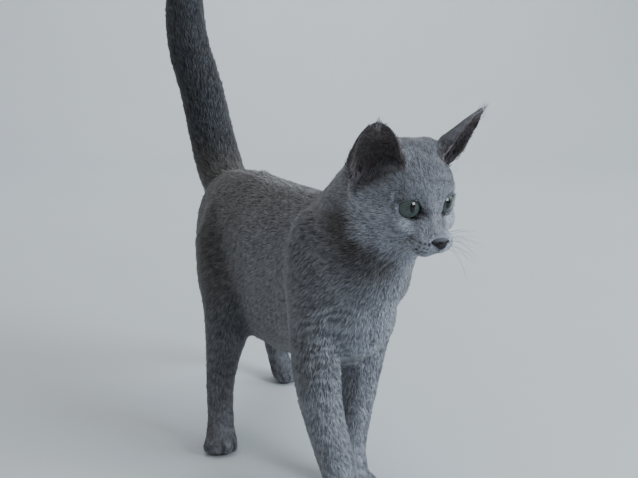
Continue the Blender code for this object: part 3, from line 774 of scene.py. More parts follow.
def near_eyes(points):
    """Which points belong to the lids and their rims."""
    close = np.zeros(len(points), bool)
    for side in SIDES:
        local, ratio = eye_place(side, points)
        close |= (ratio < 1.9) & (np.linalg.norm(local, axis=1) < 0.016)
    return close


def near_lips(points):
    """Which points belong to the front of the muzzle and the chin."""
    local = to_head(points)
    return (local[:, 1] < -0.006) & (np.abs(local[:, 0]) < 0.018) & (local[:, 2] < -0.012)


def shape_lids(points):
    """Sink the eye openings behind the eyeballs and lay the lids round them."""
    radius = sizes().eye_radius
    for side in SIDES:
        centre = eye_centre(side)
        axes = eye_axes(side)
        local, ratio = eye_place(side, points)
        far = np.linalg.norm(local, axis=1)
        direction = local / np.maximum(far, 1e-9)[:, None]
        near = (far < 0.019) & (ratio < 2.3)
        sunk = radius * 0.72
        lid = radius + 0.0008 + 0.0003 * bell(ratio - 1.20, 0.16)
        keep = smooth_step(ratio, 1.25, 2.2)
        outside = lid * (1.0 - keep) + far * keep
        wanted = np.where(ratio < 1.0, sunk, outside)
        wanted = np.where((ratio >= 1.0) & (ratio < 1.06), radius + 0.0003, wanted)
        moved = centre + (direction * wanted[:, None]) @ axes
        points = np.where(near[:, None], moved, points)
    return points


def shape_face_lines(points, normals):
    """Press in the mouth and the philtrum; raise the lips beside them a little."""
    chosen = np.nonzero(near_lips(points))[0]
    gap = line_gap(to_head(points[chosen]), "mouth")
    depth = np.zeros(len(points))
    depth[chosen] = 0.0009 * bell(gap, 0.0007) - 0.0003 * bell(gap - 0.0018, 0.0009)
    return points - normals * depth[:, None]


def folds(points):
    """Slack skin over the elbows: crossing wrinkles, -1 in the creases to 1 on the crests."""
    made = np.zeros(len(points))
    level = points[:, 2] + 0.0040 * waves(points, 0.021, 21) + 0.3 * points[:, 1]
    wrinkles = np.sin(level * (2.0 * math.pi / FOLD_STEP))
    for side, sign in SIDES.items():
        elbow = in_box("foreleg_" + side, (0.5, 0.3, 1.0)) + np.array([sign * 0.004, 0.005, 0.042])
        gap = np.linalg.norm((points - elbow) * np.array([1.0, 1.0, 0.8]), axis=1)
        made += fade(gap, 0.016, 0.036) * wrinkles
    return np.clip(made, -1.0, 1.0)


def forehead_stripes(points):
    """Faint ghost stripes that fan out from between the eyes up to the ears, -1 to 1."""
    local = to_head(points)
    spread = 0.45 + 0.55 * smooth_step(local[:, 2], 0.004, 0.030)
    close = smooth_step(local[:, 2], 0.002, 0.012) * fade(local[:, 1], 0.030, 0.050)
    close *= fade(np.abs(local[:, 0]), 0.020, 0.027)
    return close * np.sin(np.abs(local[:, 0]) / spread * (2.0 * math.pi / STRIPE_STEP) + 1.2)


def toe_gaps(points):
    """1 in the clefts between the toes, 0 elsewhere."""
    made = np.zeros(len(points))
    for node in PAWS:
        low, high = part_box(node)
        inside = near_box(node, points, 0.003)
        across = points[:, 0] - low[0]
        width = high[0] - low[0]
        front = fade(points[:, 1] - low[1], 0.009, 0.016)
        lower = fade(points[:, 2], 0.009, 0.015)
        for share in (0.28, 0.5, 0.72):
            cleft = bell(across - share * width, 0.0011)
            made = np.where(inside, np.maximum(made, cleft * front * lower), made)
    return made


def under_nose(points):
    """1 under the nose leather, 0 a little beyond its edge."""
    local = (points - centre_of("nose")) @ HEAD_AXES.T
    reach = np.linalg.norm(local / np.array([0.0070, 0.0070, 0.0050]), axis=1)
    return fade(reach, 0.85, 1.15)


def thin_out(thing, triangles, keep_fine):
    """Merge faces down to so many triangles, leaving the marked points alone."""
    count = len(thing.data.polygons)
    if count <= triangles:
        return
    group = thing.vertex_groups.new(name="coarse")
    group.add(np.nonzero(~keep_fine)[0].tolist(), 1.0, "REPLACE")
    thin = thing.modifiers.new("thin", "DECIMATE")
    thin.decimate_type = "COLLAPSE"
    thin.vertex_group = group.name
    thin.ratio = triangles / count
    bake_modifiers(thing)
    thing.vertex_groups.clear()


def skin_marks(thing):
    """Attributes that the skin's material reads: tone with its painted light and shade, dark rims, ear
    cups with their painted shade, and pads.
    """
    mesh = thing.data
    points = points_of(mesh)
    normals = normals_of(mesh)
    local = to_head(points)
    set_attribute(mesh, "tone_and_shade", coat_at(points)[4])
    rim = fade(lid_ratios(points), 1.04, 1.16)
    chosen = np.nonzero(local[:, 1] < 0.01)[0]
    for kind, strength, breadth in (("tear", 0.85, 0.0009), ("mouth", 0.9, 0.0008)):
        mark = strength * bell(line_gap(local[chosen], kind), breadth)
        rim[chosen] = np.maximum(rim[chosen], mark)
    set_attribute(mesh, "rim", rim)
    set_attribute(mesh, "inner_ear", ear_cup(points, normals)[0])
    soles = fade(points[:, 2], 0.0008, 0.0016) * (normals[:, 2] < -0.3)
    set_attribute(mesh, "pads", paw_share(points) * soles)


class KITTEN_OT_skin(bpy.types.Operator):
    """Grow the flesh pieces together into one skin, a coat's depth inside them"""

    bl_idname = "kitten.skin"
    bl_label = "Skin"

    def execute(self, context):
        skin = flesh_union()
        melt = skin.modifiers.new("melt", "REMESH")
        melt.mode = "VOXEL"
        melt.voxel_size = sizes().skin_voxel
        bake_modifiers(skin)
        keep_largest(skin)
        points = points_of(skin.data)
        ears = ear_share(points)
        soft = np.clip(1.0 - 0.62 * head_share(points) - 0.4 * paw_share(points), 0.1, 1.0)
        soften(skin, FLESH_ROUNDS, soft * (1.0 - 0.85 * ears))
        points = points_of(skin.data)
        ears = ear_share(points)
        depth = coat_at(points)[1] * (1.0 - 0.9 * ears) + CUT_SWELL + EAR_THINNING * ears
        points = points - normals_of(skin.data) * depth[:, None]
        points[:, 2] = np.maximum(points[:, 2], 0.0)
        set_points(skin.data, points)
        soften(skin, DEPTH_ROUNDS, 0.5 * (1.0 - ears))
        refine(skin, near_eyes, 2)
        refine(skin, near_lips, 1)
        points = points_of(skin.data)
        fine = (head_share(points) > 0.5) | (ear_share(points) > 0.1)
        thin_out(skin, sizes().skin_triangles, fine)
        set_points(skin.data, hollow_ears(points_of(skin.data)))
        soften(skin, CUP_ROUNDS, ear_cup(points_of(skin.data), normals_of(skin.data))[0])
        points, normals = points_of(skin.data), normals_of(skin.data)
        press = CLEFT_DEPTH * toe_gaps(points) - FOLD_DEPTH * folds(points)
        press += NOSE_BED * under_nose(points)
        points = shape_face_lines(points - normals * press[:, None], normals)
        set_points(skin.data, shape_lids(points))
        skin_marks(skin)
        skin.data.shade_smooth()
        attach(skin, "root")
        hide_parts(*MUSCLE)
        skin.data.materials.clear()
        skin.data.materials.append(skin_material())
        return {"FINISHED"}


# ------------------------------------------------------------------ materials
def add(tree, kind, inputs=None, **settings):
    """Add one node; an input given as another node's output becomes a link."""
    made = tree.nodes.new(kind)
    for key, value in settings.items():
        setattr(made, key, value)
    for key, value in (inputs or {}).items():
        if isinstance(value, bpy.types.NodeSocket):
            tree.links.new(value, made.inputs[key])
        else:
            made.inputs[key].default_value = value
    return made


def new_material(name, **sockets):
    """A material with its Principled shader's own sockets set; returns it, tree and shader."""
    made = bpy.data.materials.new(name)
    made.use_nodes = True
    shader = made.node_tree.nodes["Principled BSDF"]
    for key, value in sockets.items():
        shader.inputs[key.replace("_", " ")].default_value = value
    return made, made.node_tree, shader


def value_of(tree, name):
    """The value of one of the piece's own attributes."""
    return add(tree, "ShaderNodeAttribute", attribute_name=name).outputs["Fac"]


def mixed(tree, factor, first, second, blend="MIX"):
    """The first colour going over to the second as the factor goes from 0 to 1."""
    return add(
        tree, "ShaderNodeMix", {0: factor, 6: first, 7: second},
        data_type="RGBA", blend_type=blend, clamp_factor=True,
    ).outputs[2]


def sums(tree, operation, *values):
    """One step of arithmetic on values or sockets."""
    return add(tree, "ShaderNodeMath", dict(enumerate(values)), operation=operation).outputs[0]


def span(tree, across, upright):
    """Length of the line that goes so far across and so far upright."""
    squares = [sums(tree, "MULTIPLY", side, side) for side in (across, upright)]
    return sums(tree, "SQRT", sums(tree, "ADD", *squares))


def ranged(tree, value, low, high, to_low=0.0, to_high=1.0):
    """The value brought from one range to another along an even curve."""
    made = add(tree, "ShaderNodeMapRange", {
        "Value": value, "From Min": low, "From Max": high, "To Min": to_low, "To Max": to_high,
    }, interpolation_type="SMOOTHSTEP")
    return made.outputs["Result"]


def place_of(tree):
    """Where the shaded point lies on the piece."""
    return add(tree, "ShaderNodeTexCoord").outputs["Object"]


def noise(tree, size_mm, detail=3.0, roughness=0.55):
    """Noise whose lumps are about size_mm across, fixed to the piece."""
    return add(tree, "ShaderNodeTexNoise", {
        "Vector": place_of(tree), "Scale": 1000.0 / size_mm, "Detail": detail, "Roughness": roughness,
    }).outputs["Fac"]


def coat_colour(tree):
    """Blue-grey from dark to light by the coat's tone with its painted light and shade, cooler up the
    tail, with patches a centimetre or two across.
    """
    height = add(tree, "ShaderNodeSeparateXYZ", {"Vector": place_of(tree)}).outputs["Z"]
    body, tail = linear(colours().coat_dark), linear(colours().coat_tail)
    dark = mixed(tree, ranged(tree, height, 0.215, 0.255), body, tail)
    base = mixed(tree, value_of(tree, "tone_and_shade"), dark, linear(colours().coat_light))
    patches = ranged(tree, noise(tree, 14.0), 0.3, 0.7)
    return mixed(tree, patches, base, mixed(tree, 1.0, base, (0.84, 0.84, 0.85, 1.0), "MULTIPLY"))


def plush_material():
    """Kitten plush, guard hairs over down: soft, matt, with silver tips, a faint sheen, and painted
    shade towards the roots, in creases and about the ears.
    """
    made, tree, shader = new_material(
        "kitten_plush", Roughness=0.8, Sheen_Weight=0.35, Sheen_Roughness=0.45,
        Specular_IOR_Level=0.28,
    )
    along, grain = value_of(tree, "along"), value_of(tree, "grain")
    # Darker towards the roots: partly the hair's own darker base, partly painted shade deep in the coat.
    colour = mixed(tree, ranged(tree, along, 0.0, 0.7, 0.40, 0.0), coat_colour(tree), BLACK)
    # Each tuft lightened or darkened by its grain, which also carries painted light and shade of the
    # locks and elbow wrinkles.
    bright = add(tree, "ShaderNodeCombineColor", {
        index: ranged(tree, grain, 0.0, 1.0, low, high)
        for index, (low, high) in enumerate(((0.46, 1.46), (0.46, 1.46), (0.48, 1.44)))
    }).outputs[0]
    ear = value_of(tree, "ear")
    # Tufts in and about the ear cups go over to the inner ear's colour: painted shade.
    colour = mixed(tree, ranged(tree, ear, 0.0, 1.0, 0.0, 0.85), colour, linear(INNER_EAR_AND_SHADE_COLOUR))
    colour = mixed(tree, 1.0, colour, bright, "MULTIPLY")
    tipped = ranged(tree, along, 0.45, 1.0)
    for share in (
        ranged(tree, grain, 0.45, 1.0, 0.02, 0.42),
        ranged(tree, value_of(tree, "tone_and_shade"), 0.0, 1.0, 0.35, 1.0),
        ranged(tree, ear, 0.0, 1.0, 1.0, 0.3),
    ):
        tipped = sums(tree, "MULTIPLY", tipped, share)
    colour = mixed(tree, tipped, colour, linear(colours().coat_tip))
    # Dark hair at rims, lips and whisker roots, with painted shade between the toes and about the ear
    # cups.
    colour = mixed(tree, value_of(tree, "dark_hair_and_shade"), colour, linear(RIM_COLOUR))
    tree.links.new(colour, shader.inputs["Base Color"])
    return made


def skin_material():
    """Skin under down: the coat's own grey, darker between the tufts as painted shade under the coat,
    bare at rims and pads.
    """
    made, tree, shader = new_material(
        "downy_skin", Roughness=0.8, Sheen_Weight=0.05, Sheen_Roughness=0.5,
        Specular_IOR_Level=0.2,
    )
    down = noise(tree, 0.9, 4.0, 0.7)
    # Painted shade between the tufts, patchy with the down.
    colour = mixed(tree, ranged(tree, down, 0.3, 0.7, 0.55, 0.15), coat_colour(tree), BLACK)
    cloud = ranged(tree, noise(tree, 3.0), 0.3, 0.7)
    # Inside the ear cups the skin is painted darker: the inner ear's colour with painted shade.
    inner = mixed(tree, cloud, linear(EAR_SHADOW_COLOUR), linear(INNER_EAR_AND_SHADE_COLOUR))
    colour = mixed(tree, value_of(tree, "inner_ear"), colour, inner)
    colour = mixed(tree, value_of(tree, "pads"), colour, linear(PAD_COLOUR))
    colour = mixed(tree, value_of(tree, "rim"), colour, linear(RIM_COLOUR))
    tree.links.new(colour, shader.inputs["Base Color"])
    bump = add(tree, "ShaderNodeBump", {"Height": down, "Strength": 0.35, "Distance": 0.0004})
    tree.links.new(bump.outputs[0], shader.inputs["Normal"])
    return made


def eye_material():
    """Wet eyeball: clear gloss over a fibrous iris, a dark rim, an upright pupil, and the inner corner
    painted dark, partly the third eyelid and partly painted shade.
    """
    made, tree, shader = new_material(
        "wet_eye", Roughness=0.5, Coat_Weight=1.0, Coat_Roughness=0.02, Coat_IOR=CORNEA_IOR,
        Specular_IOR_Level=0.0,
    )
    across, upright = value_of(tree, "across_mm"), value_of(tree, "upright_mm")
    reach = span(tree, across, upright)
    angle = sums(tree, "ARCTAN2", upright, across)
    fan = add(tree, "ShaderNodeCombineXYZ", {
        0: sums(tree, "COSINE", angle),
        1: sums(tree, "SINE", angle),
        2: sums(tree, "MULTIPLY", reach, 0.05),
    }).outputs[0]
    fibres = add(tree, "ShaderNodeTexNoise", {"Vector": fan, "Scale": 9.0, "Detail": 5.0}).outputs["Fac"]
    iris = mixed(tree, ranged(tree, fibres, 0.3, 0.7), *map(linear, IRIS_FIBRES))
    iris = mixed(tree, ranged(tree, reach, 2.0, 5.6, 0.1, 0.6), iris, linear(colours().iris))
    iris = mixed(tree, ranged(tree, reach, 3.0, 7.4, 0.0, 0.6), iris, linear(IRIS_PALE))
    iris = mixed(tree, ranged(tree, reach, 7.6, 8.8), iris, linear(IRIS_EDGE))
    # The inner corner painted dark: partly the third eyelid, partly painted shade.
    iris = mixed(tree, value_of(tree, "corner"), iris, linear(EYE_CORNER_SHADE))
    slim = sums(tree, "DIVIDE", across, PUPIL_HALF_MM[0])
    pupil = span(tree, slim, sums(tree, "DIVIDE", upright, PUPIL_HALF_MM[1]))
    iris = mixed(tree, ranged(tree, pupil, 0.8, 1.15, 1.0, 0.0), iris, linear(PUPIL_COLOUR))
    tree.links.new(iris, shader.inputs["Base Color"])
    return made


def leather_material():
    """Nose leather: moist slate skin with a fine pebbled grain, painted lighter over its top as a
    painted sheen.
    """
    made, tree, shader = new_material("nose_leather", Roughness=0.62, Specular_IOR_Level=0.3)
    pebbles = add(tree, "ShaderNodeTexVoronoi", {
        "Vector": place_of(tree), "Scale": 1000.0 / 0.6,
    }).outputs["Distance"]
    colour = mixed(tree, ranged(tree, pebbles, 0.1, 0.7), linear(colours().nose), linear(NOSE_DARK))
    # The top painted lighter: a painted sheen where the light falls.
    brow = ranged(tree, value_of(tree, "brow"), 0.0, 1.0, 0.0, 0.6)
    colour = mixed(tree, brow, colour, linear(NOSE_SHEEN))
    colour = mixed(tree, value_of(tree, "nostril"), colour, linear(NOSTRIL_COLOUR))
    tree.links.new(colour, shader.inputs["Base Color"])
    bump = add(tree, "ShaderNodeBump", {"Height": pebbles, "Strength": 0.5, "Distance": 0.0002})
    tree.links.new(bump.outputs[0], shader.inputs["Normal"])
    return made


def whisker_material():
    """Whisker keratin: pale, stiff, glossy."""
    made, tree, shader = new_material("whisker_keratin", Roughness=0.6, Specular_IOR_Level=0.2)
    colour = mixed(tree, noise(tree, 20.0), *map(linear, WHISKER_COLOURS))
    tree.links.new(colour, shader.inputs["Base Color"])
    return made


# ------------------------------------------------------------------ eyes and nose
def ball(name, around, rings):
    """A closed ball of radius 1 with its poles on Z."""
    mesh = bpy.data.meshes.new(name)
    bm = bmesh.new()
    bmesh.ops.create_uvsphere(bm, u_segments=around, v_segments=rings, radius=1.0)
    bm.to_mesh(mesh)
    bm.free()
    return link(bpy.data.objects.new(name, mesh))


class KITTEN_OT_eyes(bpy.types.Operator):
    """Make both eyeballs, each turned to look out of its lids"""

    bl_idname = "kitten.eyes"
    bl_label = "Eyes"

    def execute(self, context):
        radius = sizes().eye_radius
        wet = eye_material()
        for side in SIDES:
            turn = SIDES[side] * EYE_TURN + GAZE_ASIDE
            gaze = np.array([math.sin(turn), -math.cos(turn), math.sin(GAZE_UP)])
            gaze = head_direction(unit(gaze))
            flat = unit(np.cross(gaze, np.array([0.0, 0.0, 1.0])))
            level = np.array([flat, np.cross(flat, gaze), gaze])
            eye = ball("eyeball_" + side, 56, 40)
            local = points_of(eye.data)
            theta = np.arccos(np.clip(local[:, 2], -1.0, 1.0))
            reach = radius - 0.0001 + 0.0005 * bell(theta, 0.5)
            points = eye_centre(side) + (local * reach[:, None]) @ level
            set_points(eye.data, points)
            eye.data.flip_normals()
            set_attribute(eye.data, "across_mm", local[:, 0] * reach * 1000.0)
            set_attribute(eye.data, "upright_mm", local[:, 1] * reach * 1000.0)
            outward = (points - eye_centre(side)) @ eye_axes(side)[0]
            # How far towards the inner corner, where the eyeball is painted dark, partly as shade.
            set_attribute(eye.data, "corner", fade(outward, -0.0068, -0.0046))
            eye.data.shade_smooth()
            eye.data.materials.append(wet)
            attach(eye, "root")
            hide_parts("eye_" + side)
        return {"FINISHED"}


class KITTEN_OT_nose(bpy.types.Operator):
    """Make the nose leather with its nostrils and the groove between them"""

    bl_idname = "kitten.nose"
    bl_label = "Nose"

    def execute(self, context):
        nose = ball("nose_leather", 48, 32)
        mesh = nose.data
        x, y, z = points_of(mesh).T
        width = 0.0072 * (0.32 + 0.72 * smooth_step(z, -1.0, 0.45))
        deep = np.where(y < 0.0, y * 0.0044, y * 0.0048)
        tall = np.where(z > 0.0, z * 0.0036, z * 0.0046)
        shaped = np.stack([x * width, deep, tall - 0.0004], axis=1)
        front = smooth_step(-y, 0.05, 0.5)
        dent = np.zeros(len(x))
        for sign in SIDES.values():
            line = [
                (sign * 0.0021, 0.0, -0.0004),
                (sign * 0.0034, 0.0, 0.0002),
                (sign * 0.0046, 0.0, -0.0008),
                (sign * 0.0056, 0.0, -0.0020),
            ]
            gap = polyline_distance(shaped * np.array([1.0, 0.0, 1.0]), line)
            dent = np.maximum(dent, bell(gap, 0.0008))
        groove = bell(shaped[:, 0], 0.0005) * smooth_step(-z, -0.2, 0.4)
        shaped[:, 1] += front * (0.0016 * dent + 0.0007 * groove)
        turned = shaped.copy()
        turned[:, 1] = shaped[:, 1] * math.cos(NOSE_TILT) - shaped[:, 2] * math.sin(NOSE_TILT)
        turned[:, 2] = shaped[:, 1] * math.sin(NOSE_TILT) + shaped[:, 2] * math.cos(NOSE_TILT)
        set_points(mesh, centre_of("nose") + turned @ HEAD_AXES)
        # Marks the nose's top, which gets the painted sheen.
        set_attribute(mesh, "brow", smooth_step(z, 0.1, 0.9))
        set_attribute(mesh, "nostril", front * np.maximum(dent * 1.1, groove * 0.8))
        mesh.shade_smooth()
        mesh.materials.append(leather_material())
        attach(nose, "root")
        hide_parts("nose")
        return {"FINISHED"}


# ------------------------------------------------------------------ coat
def unwrap_guide(skin):
    """A coarse copy of the skin unwrapped on its own shape: triangles, points and map."""
    guide = link(skin.copy())
    guide.data = skin.data.copy()
    guide.parent = None
    thin = guide.modifiers.new("thin", "DECIMATE")
    thin.ratio = GUIDE_TRIANGLES / len(guide.data.polygons)
    bake_modifiers(guide)
    bpy.context.view_layer.objects.active = guide
    for thing in bpy.context.selected_objects:
        thing.select_set(False)
    guide.select_set(True)
    bpy.ops.object.mode_set(mode="EDIT")
    bpy.ops.mesh.select_all(action="SELECT")
    bpy.ops.uv.smart_project(angle_limit=math.radians(66.0), island_margin=0.004)
    bpy.ops.object.mode_set(mode="OBJECT")
    mesh = guide.data
    mesh.calc_loop_triangles()
    corners = np.empty(len(mesh.loop_triangles) * 3, np.int32)
    mesh.loop_triangles.foreach_get("loops", corners)
    layer = np.empty(len(mesh.loops) * 2, np.float32)
    mesh.uv_layers.active.data.foreach_get("uv", layer)
    places = layer.reshape(-1, 2)[corners].reshape(-1, 3, 2)
    points = points_of(mesh)[triangles_of(mesh)]
    bpy.data.objects.remove(guide, do_unlink=True)
    return points, places


def map_places(guide, roots):
    """Where each root lies on the unwrapped map."""
    points, places = guide
    flat = [tuple(p) for p in points.reshape(-1, 3)]
    tree = BVHTree.FromPolygons(flat, [(i, i + 1, i + 2) for i in range(0, len(flat), 3)])
    nearest = [tree.find_nearest(Vector(root)) for root in roots]
    index = np.array([hit[2] for hit in nearest])
    spot = np.array([hit[0] for hit in nearest])
    a, b, c = points[index, 0], points[index, 1], points[index, 2]
    one, two, here = b - a, c - a, spot - a
    d00, d01, d11 = (one * one).sum(1), (one * two).sum(1), (two * two).sum(1)
    d20, d21 = (here * one).sum(1), (here * two).sum(1)
    ground = np.maximum(d00 * d11 - d01 * d01, 1e-18)
    v = np.clip((d11 * d20 - d01 * d21) / ground, 0.0, 1.0)
    w = np.clip((d00 * d21 - d01 * d20) / ground, 0.0, 1.0)
    u = 1.0 - v - w
    uv = places[index]
    return uv[:, 0] * u[:, None] + uv[:, 1] * v[:, None] + uv[:, 2] * w[:, None]


def waves(points, size, seed):
    """Smooth noise from a few crossing waves about `size` apart, between -1 and 1."""
    rng = np.random.default_rng(seed)
    total = np.zeros(len(points))
    for _ in range(7):
        way = unit(rng.normal(size=3))
        pace = 2.0 * math.pi / (size * rng.uniform(0.7, 1.5))
        total += np.sin(points @ way * pace + rng.uniform(0, 6.3))
    return np.clip(total / 3.2, -1.0, 1.0)


def grow_roots(skin, rng):
    """Tuft roots strewn over the skin by the coat's fineness, and the skin's own way up there."""
    mesh = skin.data
    points, normals, faces = points_of(mesh), normals_of(mesh), triangles_of(mesh)
    corners = points[faces]
    square = np.cross(corners[:, 1] - corners[:, 0], corners[:, 2] - corners[:, 0])
    area, face_normals = 0.5 * np.linalg.norm(square, axis=1), unit(square)
    middle = corners.mean(axis=1)
    _, _, length, width, _ = coat_at(middle)
    cup, rise, _ = ear_cup(middle, face_normals)
    bare = cup * (0.35 + 0.62 * smooth_step(rise, 0.15, 0.75))
    bare = np.where(lid_ratios(middle) < 1.07, 1.0, bare)
    bare = np.where((middle[:, 2] < 0.0015) & (face_normals[:, 2] < -0.3), 1.0, bare)
    bare = np.where(under_nose(middle) > 0.3, 1.0, bare)
    density = area * COVER * sizes().tuft_share * (1.0 - bare) / (length * width)
    total = np.cumsum(density)
    count = int(total[-1])
    spots = (np.arange(count) + rng.random(count)) / count * total[-1]
    chosen = np.searchsorted(total, spots)
    chosen = np.minimum(chosen, len(faces) - 1)
    r1, r2 = np.sqrt(rng.random(count)), rng.random(count)
    shares = np.stack([1.0 - r1, r1 * (1.0 - r2), r1 * r2], axis=1)
    roots = np.einsum("ij,ijk->ik", shares, corners[chosen])
    ups = unit(np.einsum("ij,ijk->ik", shares, normals[faces[chosen]]))
    return roots, ups


def tuft_mesh(name, root, up, way, length, width, height, marks, places):
    """Closed four-sided tufts: a root in the skin, a broad arched middle and a fine tip."""
    side = unit(np.cross(up, way))
    half = width[:, None] * 0.5
    low = root - up * TUFT_ROOT
    mid = root + way * (length * TUFT_MIDDLE)[:, None] + up * (height * TUFT_ARCH)[:, None]
    tip = root + way * length[:, None] + up * height[:, None]
    corners = np.stack([low, mid + side * half, mid - side * half, tip], axis=1)
    corners[..., 2] = np.maximum(corners[..., 2], FLOOR_GAP)
    pattern = np.array([(0, 1, 2), (3, 2, 1), (0, 3, 1), (0, 2, 3)])
    first = corners[0][pattern]
    away = first - corners[0].mean(axis=0)
    volume = np.einsum("ij,ij->i", away[:, 0], np.cross(away[:, 1], away[:, 2])).sum()
    if volume < 0.0:
        pattern = pattern[:, ::-1]
    count = len(root)
    faces = (pattern[None] + (np.arange(count) * TUFT_CORNERS)[:, None, None]).reshape(-1, 3)
    thing = triangles_object(name, corners.reshape(-1, 3), faces)
    mesh = thing.data
    set_attribute(mesh, "along", np.tile([0.0, TUFT_MIDDLE, TUFT_MIDDLE, 1.0], count))
    for key, values in marks.items():
        set_attribute(mesh, key, np.repeat(values, TUFT_CORNERS))
    patch = np.array([(0.5, 0.0), (0.0, TUFT_MIDDLE), (1.0, TUFT_MIDDLE), (0.5, 1.0)])
    layer = mesh.uv_layers.new(name="OFBake")
    spread = np.clip(places[:, None, :] + (patch[None] - 0.5) * PATCH, 0.0, 1.0)
    on_corners = spread.reshape(-1, 2)[faces.reshape(-1)]
    layer.data.foreach_set("uv", on_corners.astype(np.float32).ravel())
    mesh.shade_smooth()
    lean = np.stack([up, side, -side, way], axis=1) * TUFT_ROUND + up[:, None, :]
    mesh.normals_split_custom_set_from_vertices(unit(lean.reshape(-1, 3)).astype(np.float32))
    return thing


def coat_groups(roots):
    """A name for each root's stretch of coat."""
    local = to_head(roots)
    names = np.full(len(roots), "trunk", dtype=object)
    names[roots[:, 1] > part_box("rump")[0].y] = "hindquarters"
    names[roots[:, 1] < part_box("chest")[1].y] = "chest"
    for node in ("foreleg", "forepaw", "shank", "hindfoot"):
        for side in SIDES:
            inside = near_box(node + "_" + side, roots, 0.001)
            names[inside & (roots[:, 2] < 0.085)] = "legs"
    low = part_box("tail_root")[0]
    names[(roots[:, 2] > low.z + 0.012) & (roots[:, 1] > low.y)] = "tail"
    near_head = (head_share(roots) > 0.02) | (ear_share(roots) > 0.0)
    names[near_box("neck", roots, 0.0)] = "neck"
    names[near_head & (local[:, 0] > 0.0)] = "head_left"
    names[near_head & (local[:, 0] <= 0.0)] = "head_right"
    return names


class KITTEN_OT_coat(bpy.types.Operator):
    """Lay short tufts over the skin, following the lie of the coat"""

    bl_idname = "kitten.coat"
    bl_label = "Coat"

    def execute(self, context):
        skin = bpy.data.objects["kitten_skin"]
        rng = np.random.default_rng(11)
        roots, ups = grow_roots(skin, rng)
        lie, depth, length, width, tone_and_shade = coat_at(roots)
        count = len(roots)
        # The third value is the painted shade in and about the ear cups.
        cup, rise, ear = ear_cup(roots, ups)
        ear_way = head_direction((0.0, -0.35, 1.0))
        lie = unit(lie * (1.0 - 0.7 * cup)[:, None] + ear_way * (0.9 * cup)[:, None])
        length = length * (1.0 + 0.6 * cup)
        depth = depth + 0.0012 * cup * (1.0 - rise)
        swirl = 0.20 * waves(roots, 0.018, 3) + rng.normal(0.0, 0.13, count)
        way = unit(lie - ups * np.einsum("ij,ij->i", lie, ups)[:, None])
        side = np.cross(ups, way)
        way = way * np.cos(swirl)[:, None] + side * np.sin(swirl)[:, None]
        length = length * rng.uniform(0.75, 1.2, count)
        width = width * rng.uniform(0.75, 1.2, count)
        height = depth * (0.82 + 0.16 * waves(roots, 0.007, 5) + rng.normal(0.0, 0.10, count))
        height = np.clip(height, LEAST_HEIGHT, None)
        streak = self.streaks(roots, way)
        ruff = bell(ruff_gap(roots), RUFF_REACH)
        length = length * (1.0 + 0.35 * ruff)
        height = np.clip(height * (1.0 + 0.32 * streak + 0.5 * ruff), LEAST_HEIGHT, None)
        speckle = 0.28 + 0.3 * head_share(roots)
        grain = 0.5 + speckle * rng.uniform(-1.0, 1.0, count) + 0.14 * waves(roots, 0.006, 9)
        # Random grain and ghost stripes, plus painted light and shade: lighter on the locks that stand
        # higher and on the elbow wrinkles' crests, darker in their creases.
        grain = grain + 0.27 * streak + 0.32 * folds(roots) + 0.08 * forehead_stripes(roots)
        away = np.linalg.norm(roots - in_box("rump", RUFFLE), axis=1)
        height = height + RUFFLE_HEIGHT * bell(away, RUFFLE_REACH)
        marks = {
            "tone_and_shade": tone_and_shade,
            "grain": np.clip(grain, 0.0, 1.0),
            # Dark hair and painted shade, with more painted shade about the ear cups.
            "dark_hair_and_shade": np.maximum(self.dark_marks_and_shade(roots), 0.25 * ear),
            "ear": ear,
        }
        places = map_places(unwrap_guide(skin), roots)
        plush = plush_material()
        names = coat_groups(roots)
        for name in sorted(set(names)):
            mine = np.nonzero(names == name)[0]
            share = math.ceil(len(mine) / TUFTS_A_PIECE)
            mine = mine[np.argsort(roots[mine] @ np.array([0.3, 1.0, 0.2]), kind="stable")]
            for number, part in enumerate(np.array_split(mine, share)):
                label = "coat_" + name + ("_%d" % (number + 1) if share > 1 else "")
                piece = tuft_mesh(
                    label, roots[part], ups[part], way[part], length[part], width[part],
                    height[part], {key: values[part] for key, values in marks.items()}, places[part],
                )
                piece.data.materials.append(plush)
                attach(piece, "root")
        return {"FINISHED"}

    def streaks(self, roots, way):
        """Locks of like tufts about a millimetre wide, drawn out along the lie."""
        here = roots - np.round(roots / LOCK_CELL) * LOCK_CELL
        drawn = roots - way * (0.6 * np.einsum("ij,ij->i", here, way))[:, None]
        drawn = drawn * (1.0 + 0.6 * head_share(roots))[:, None]
        return 0.7 * waves(drawn, 0.0024, 13) + 0.55 * waves(drawn, 0.0015, 17)

    def dark_marks_and_shade(self, roots):
        """Dark hair at the tear lines, lips, whisker roots and lid rims, and painted shade in the clefts
        between the toes.
        """
        local = to_head(roots)
        # Painted shade in the clefts between the toes.
        dark_hair_and_shade = 0.8 * toe_gaps(roots)
        chosen = np.nonzero((local[:, 1] < 0.012) & (local[:, 2] < 0.02))[0]
        for kind, breadth in (("tear", 0.0018), ("mouth", 0.0013)):
            mark = bell(line_gap(local[chosen], kind), breadth)
            dark_hair_and_shade[chosen] = np.maximum(dark_hair_and_shade[chosen], mark)
        for root in whisker_roots():
            away = np.linalg.norm((local[chosen] - root)[:, (0, 2)], axis=1)
            dark_hair_and_shade[chosen] = np.maximum(dark_hair_and_shade[chosen], bell(away, 0.00085))
        return np.maximum(dark_hair_and_shade, 0.7 * fade(lid_ratios(roots), 1.07, 1.24))


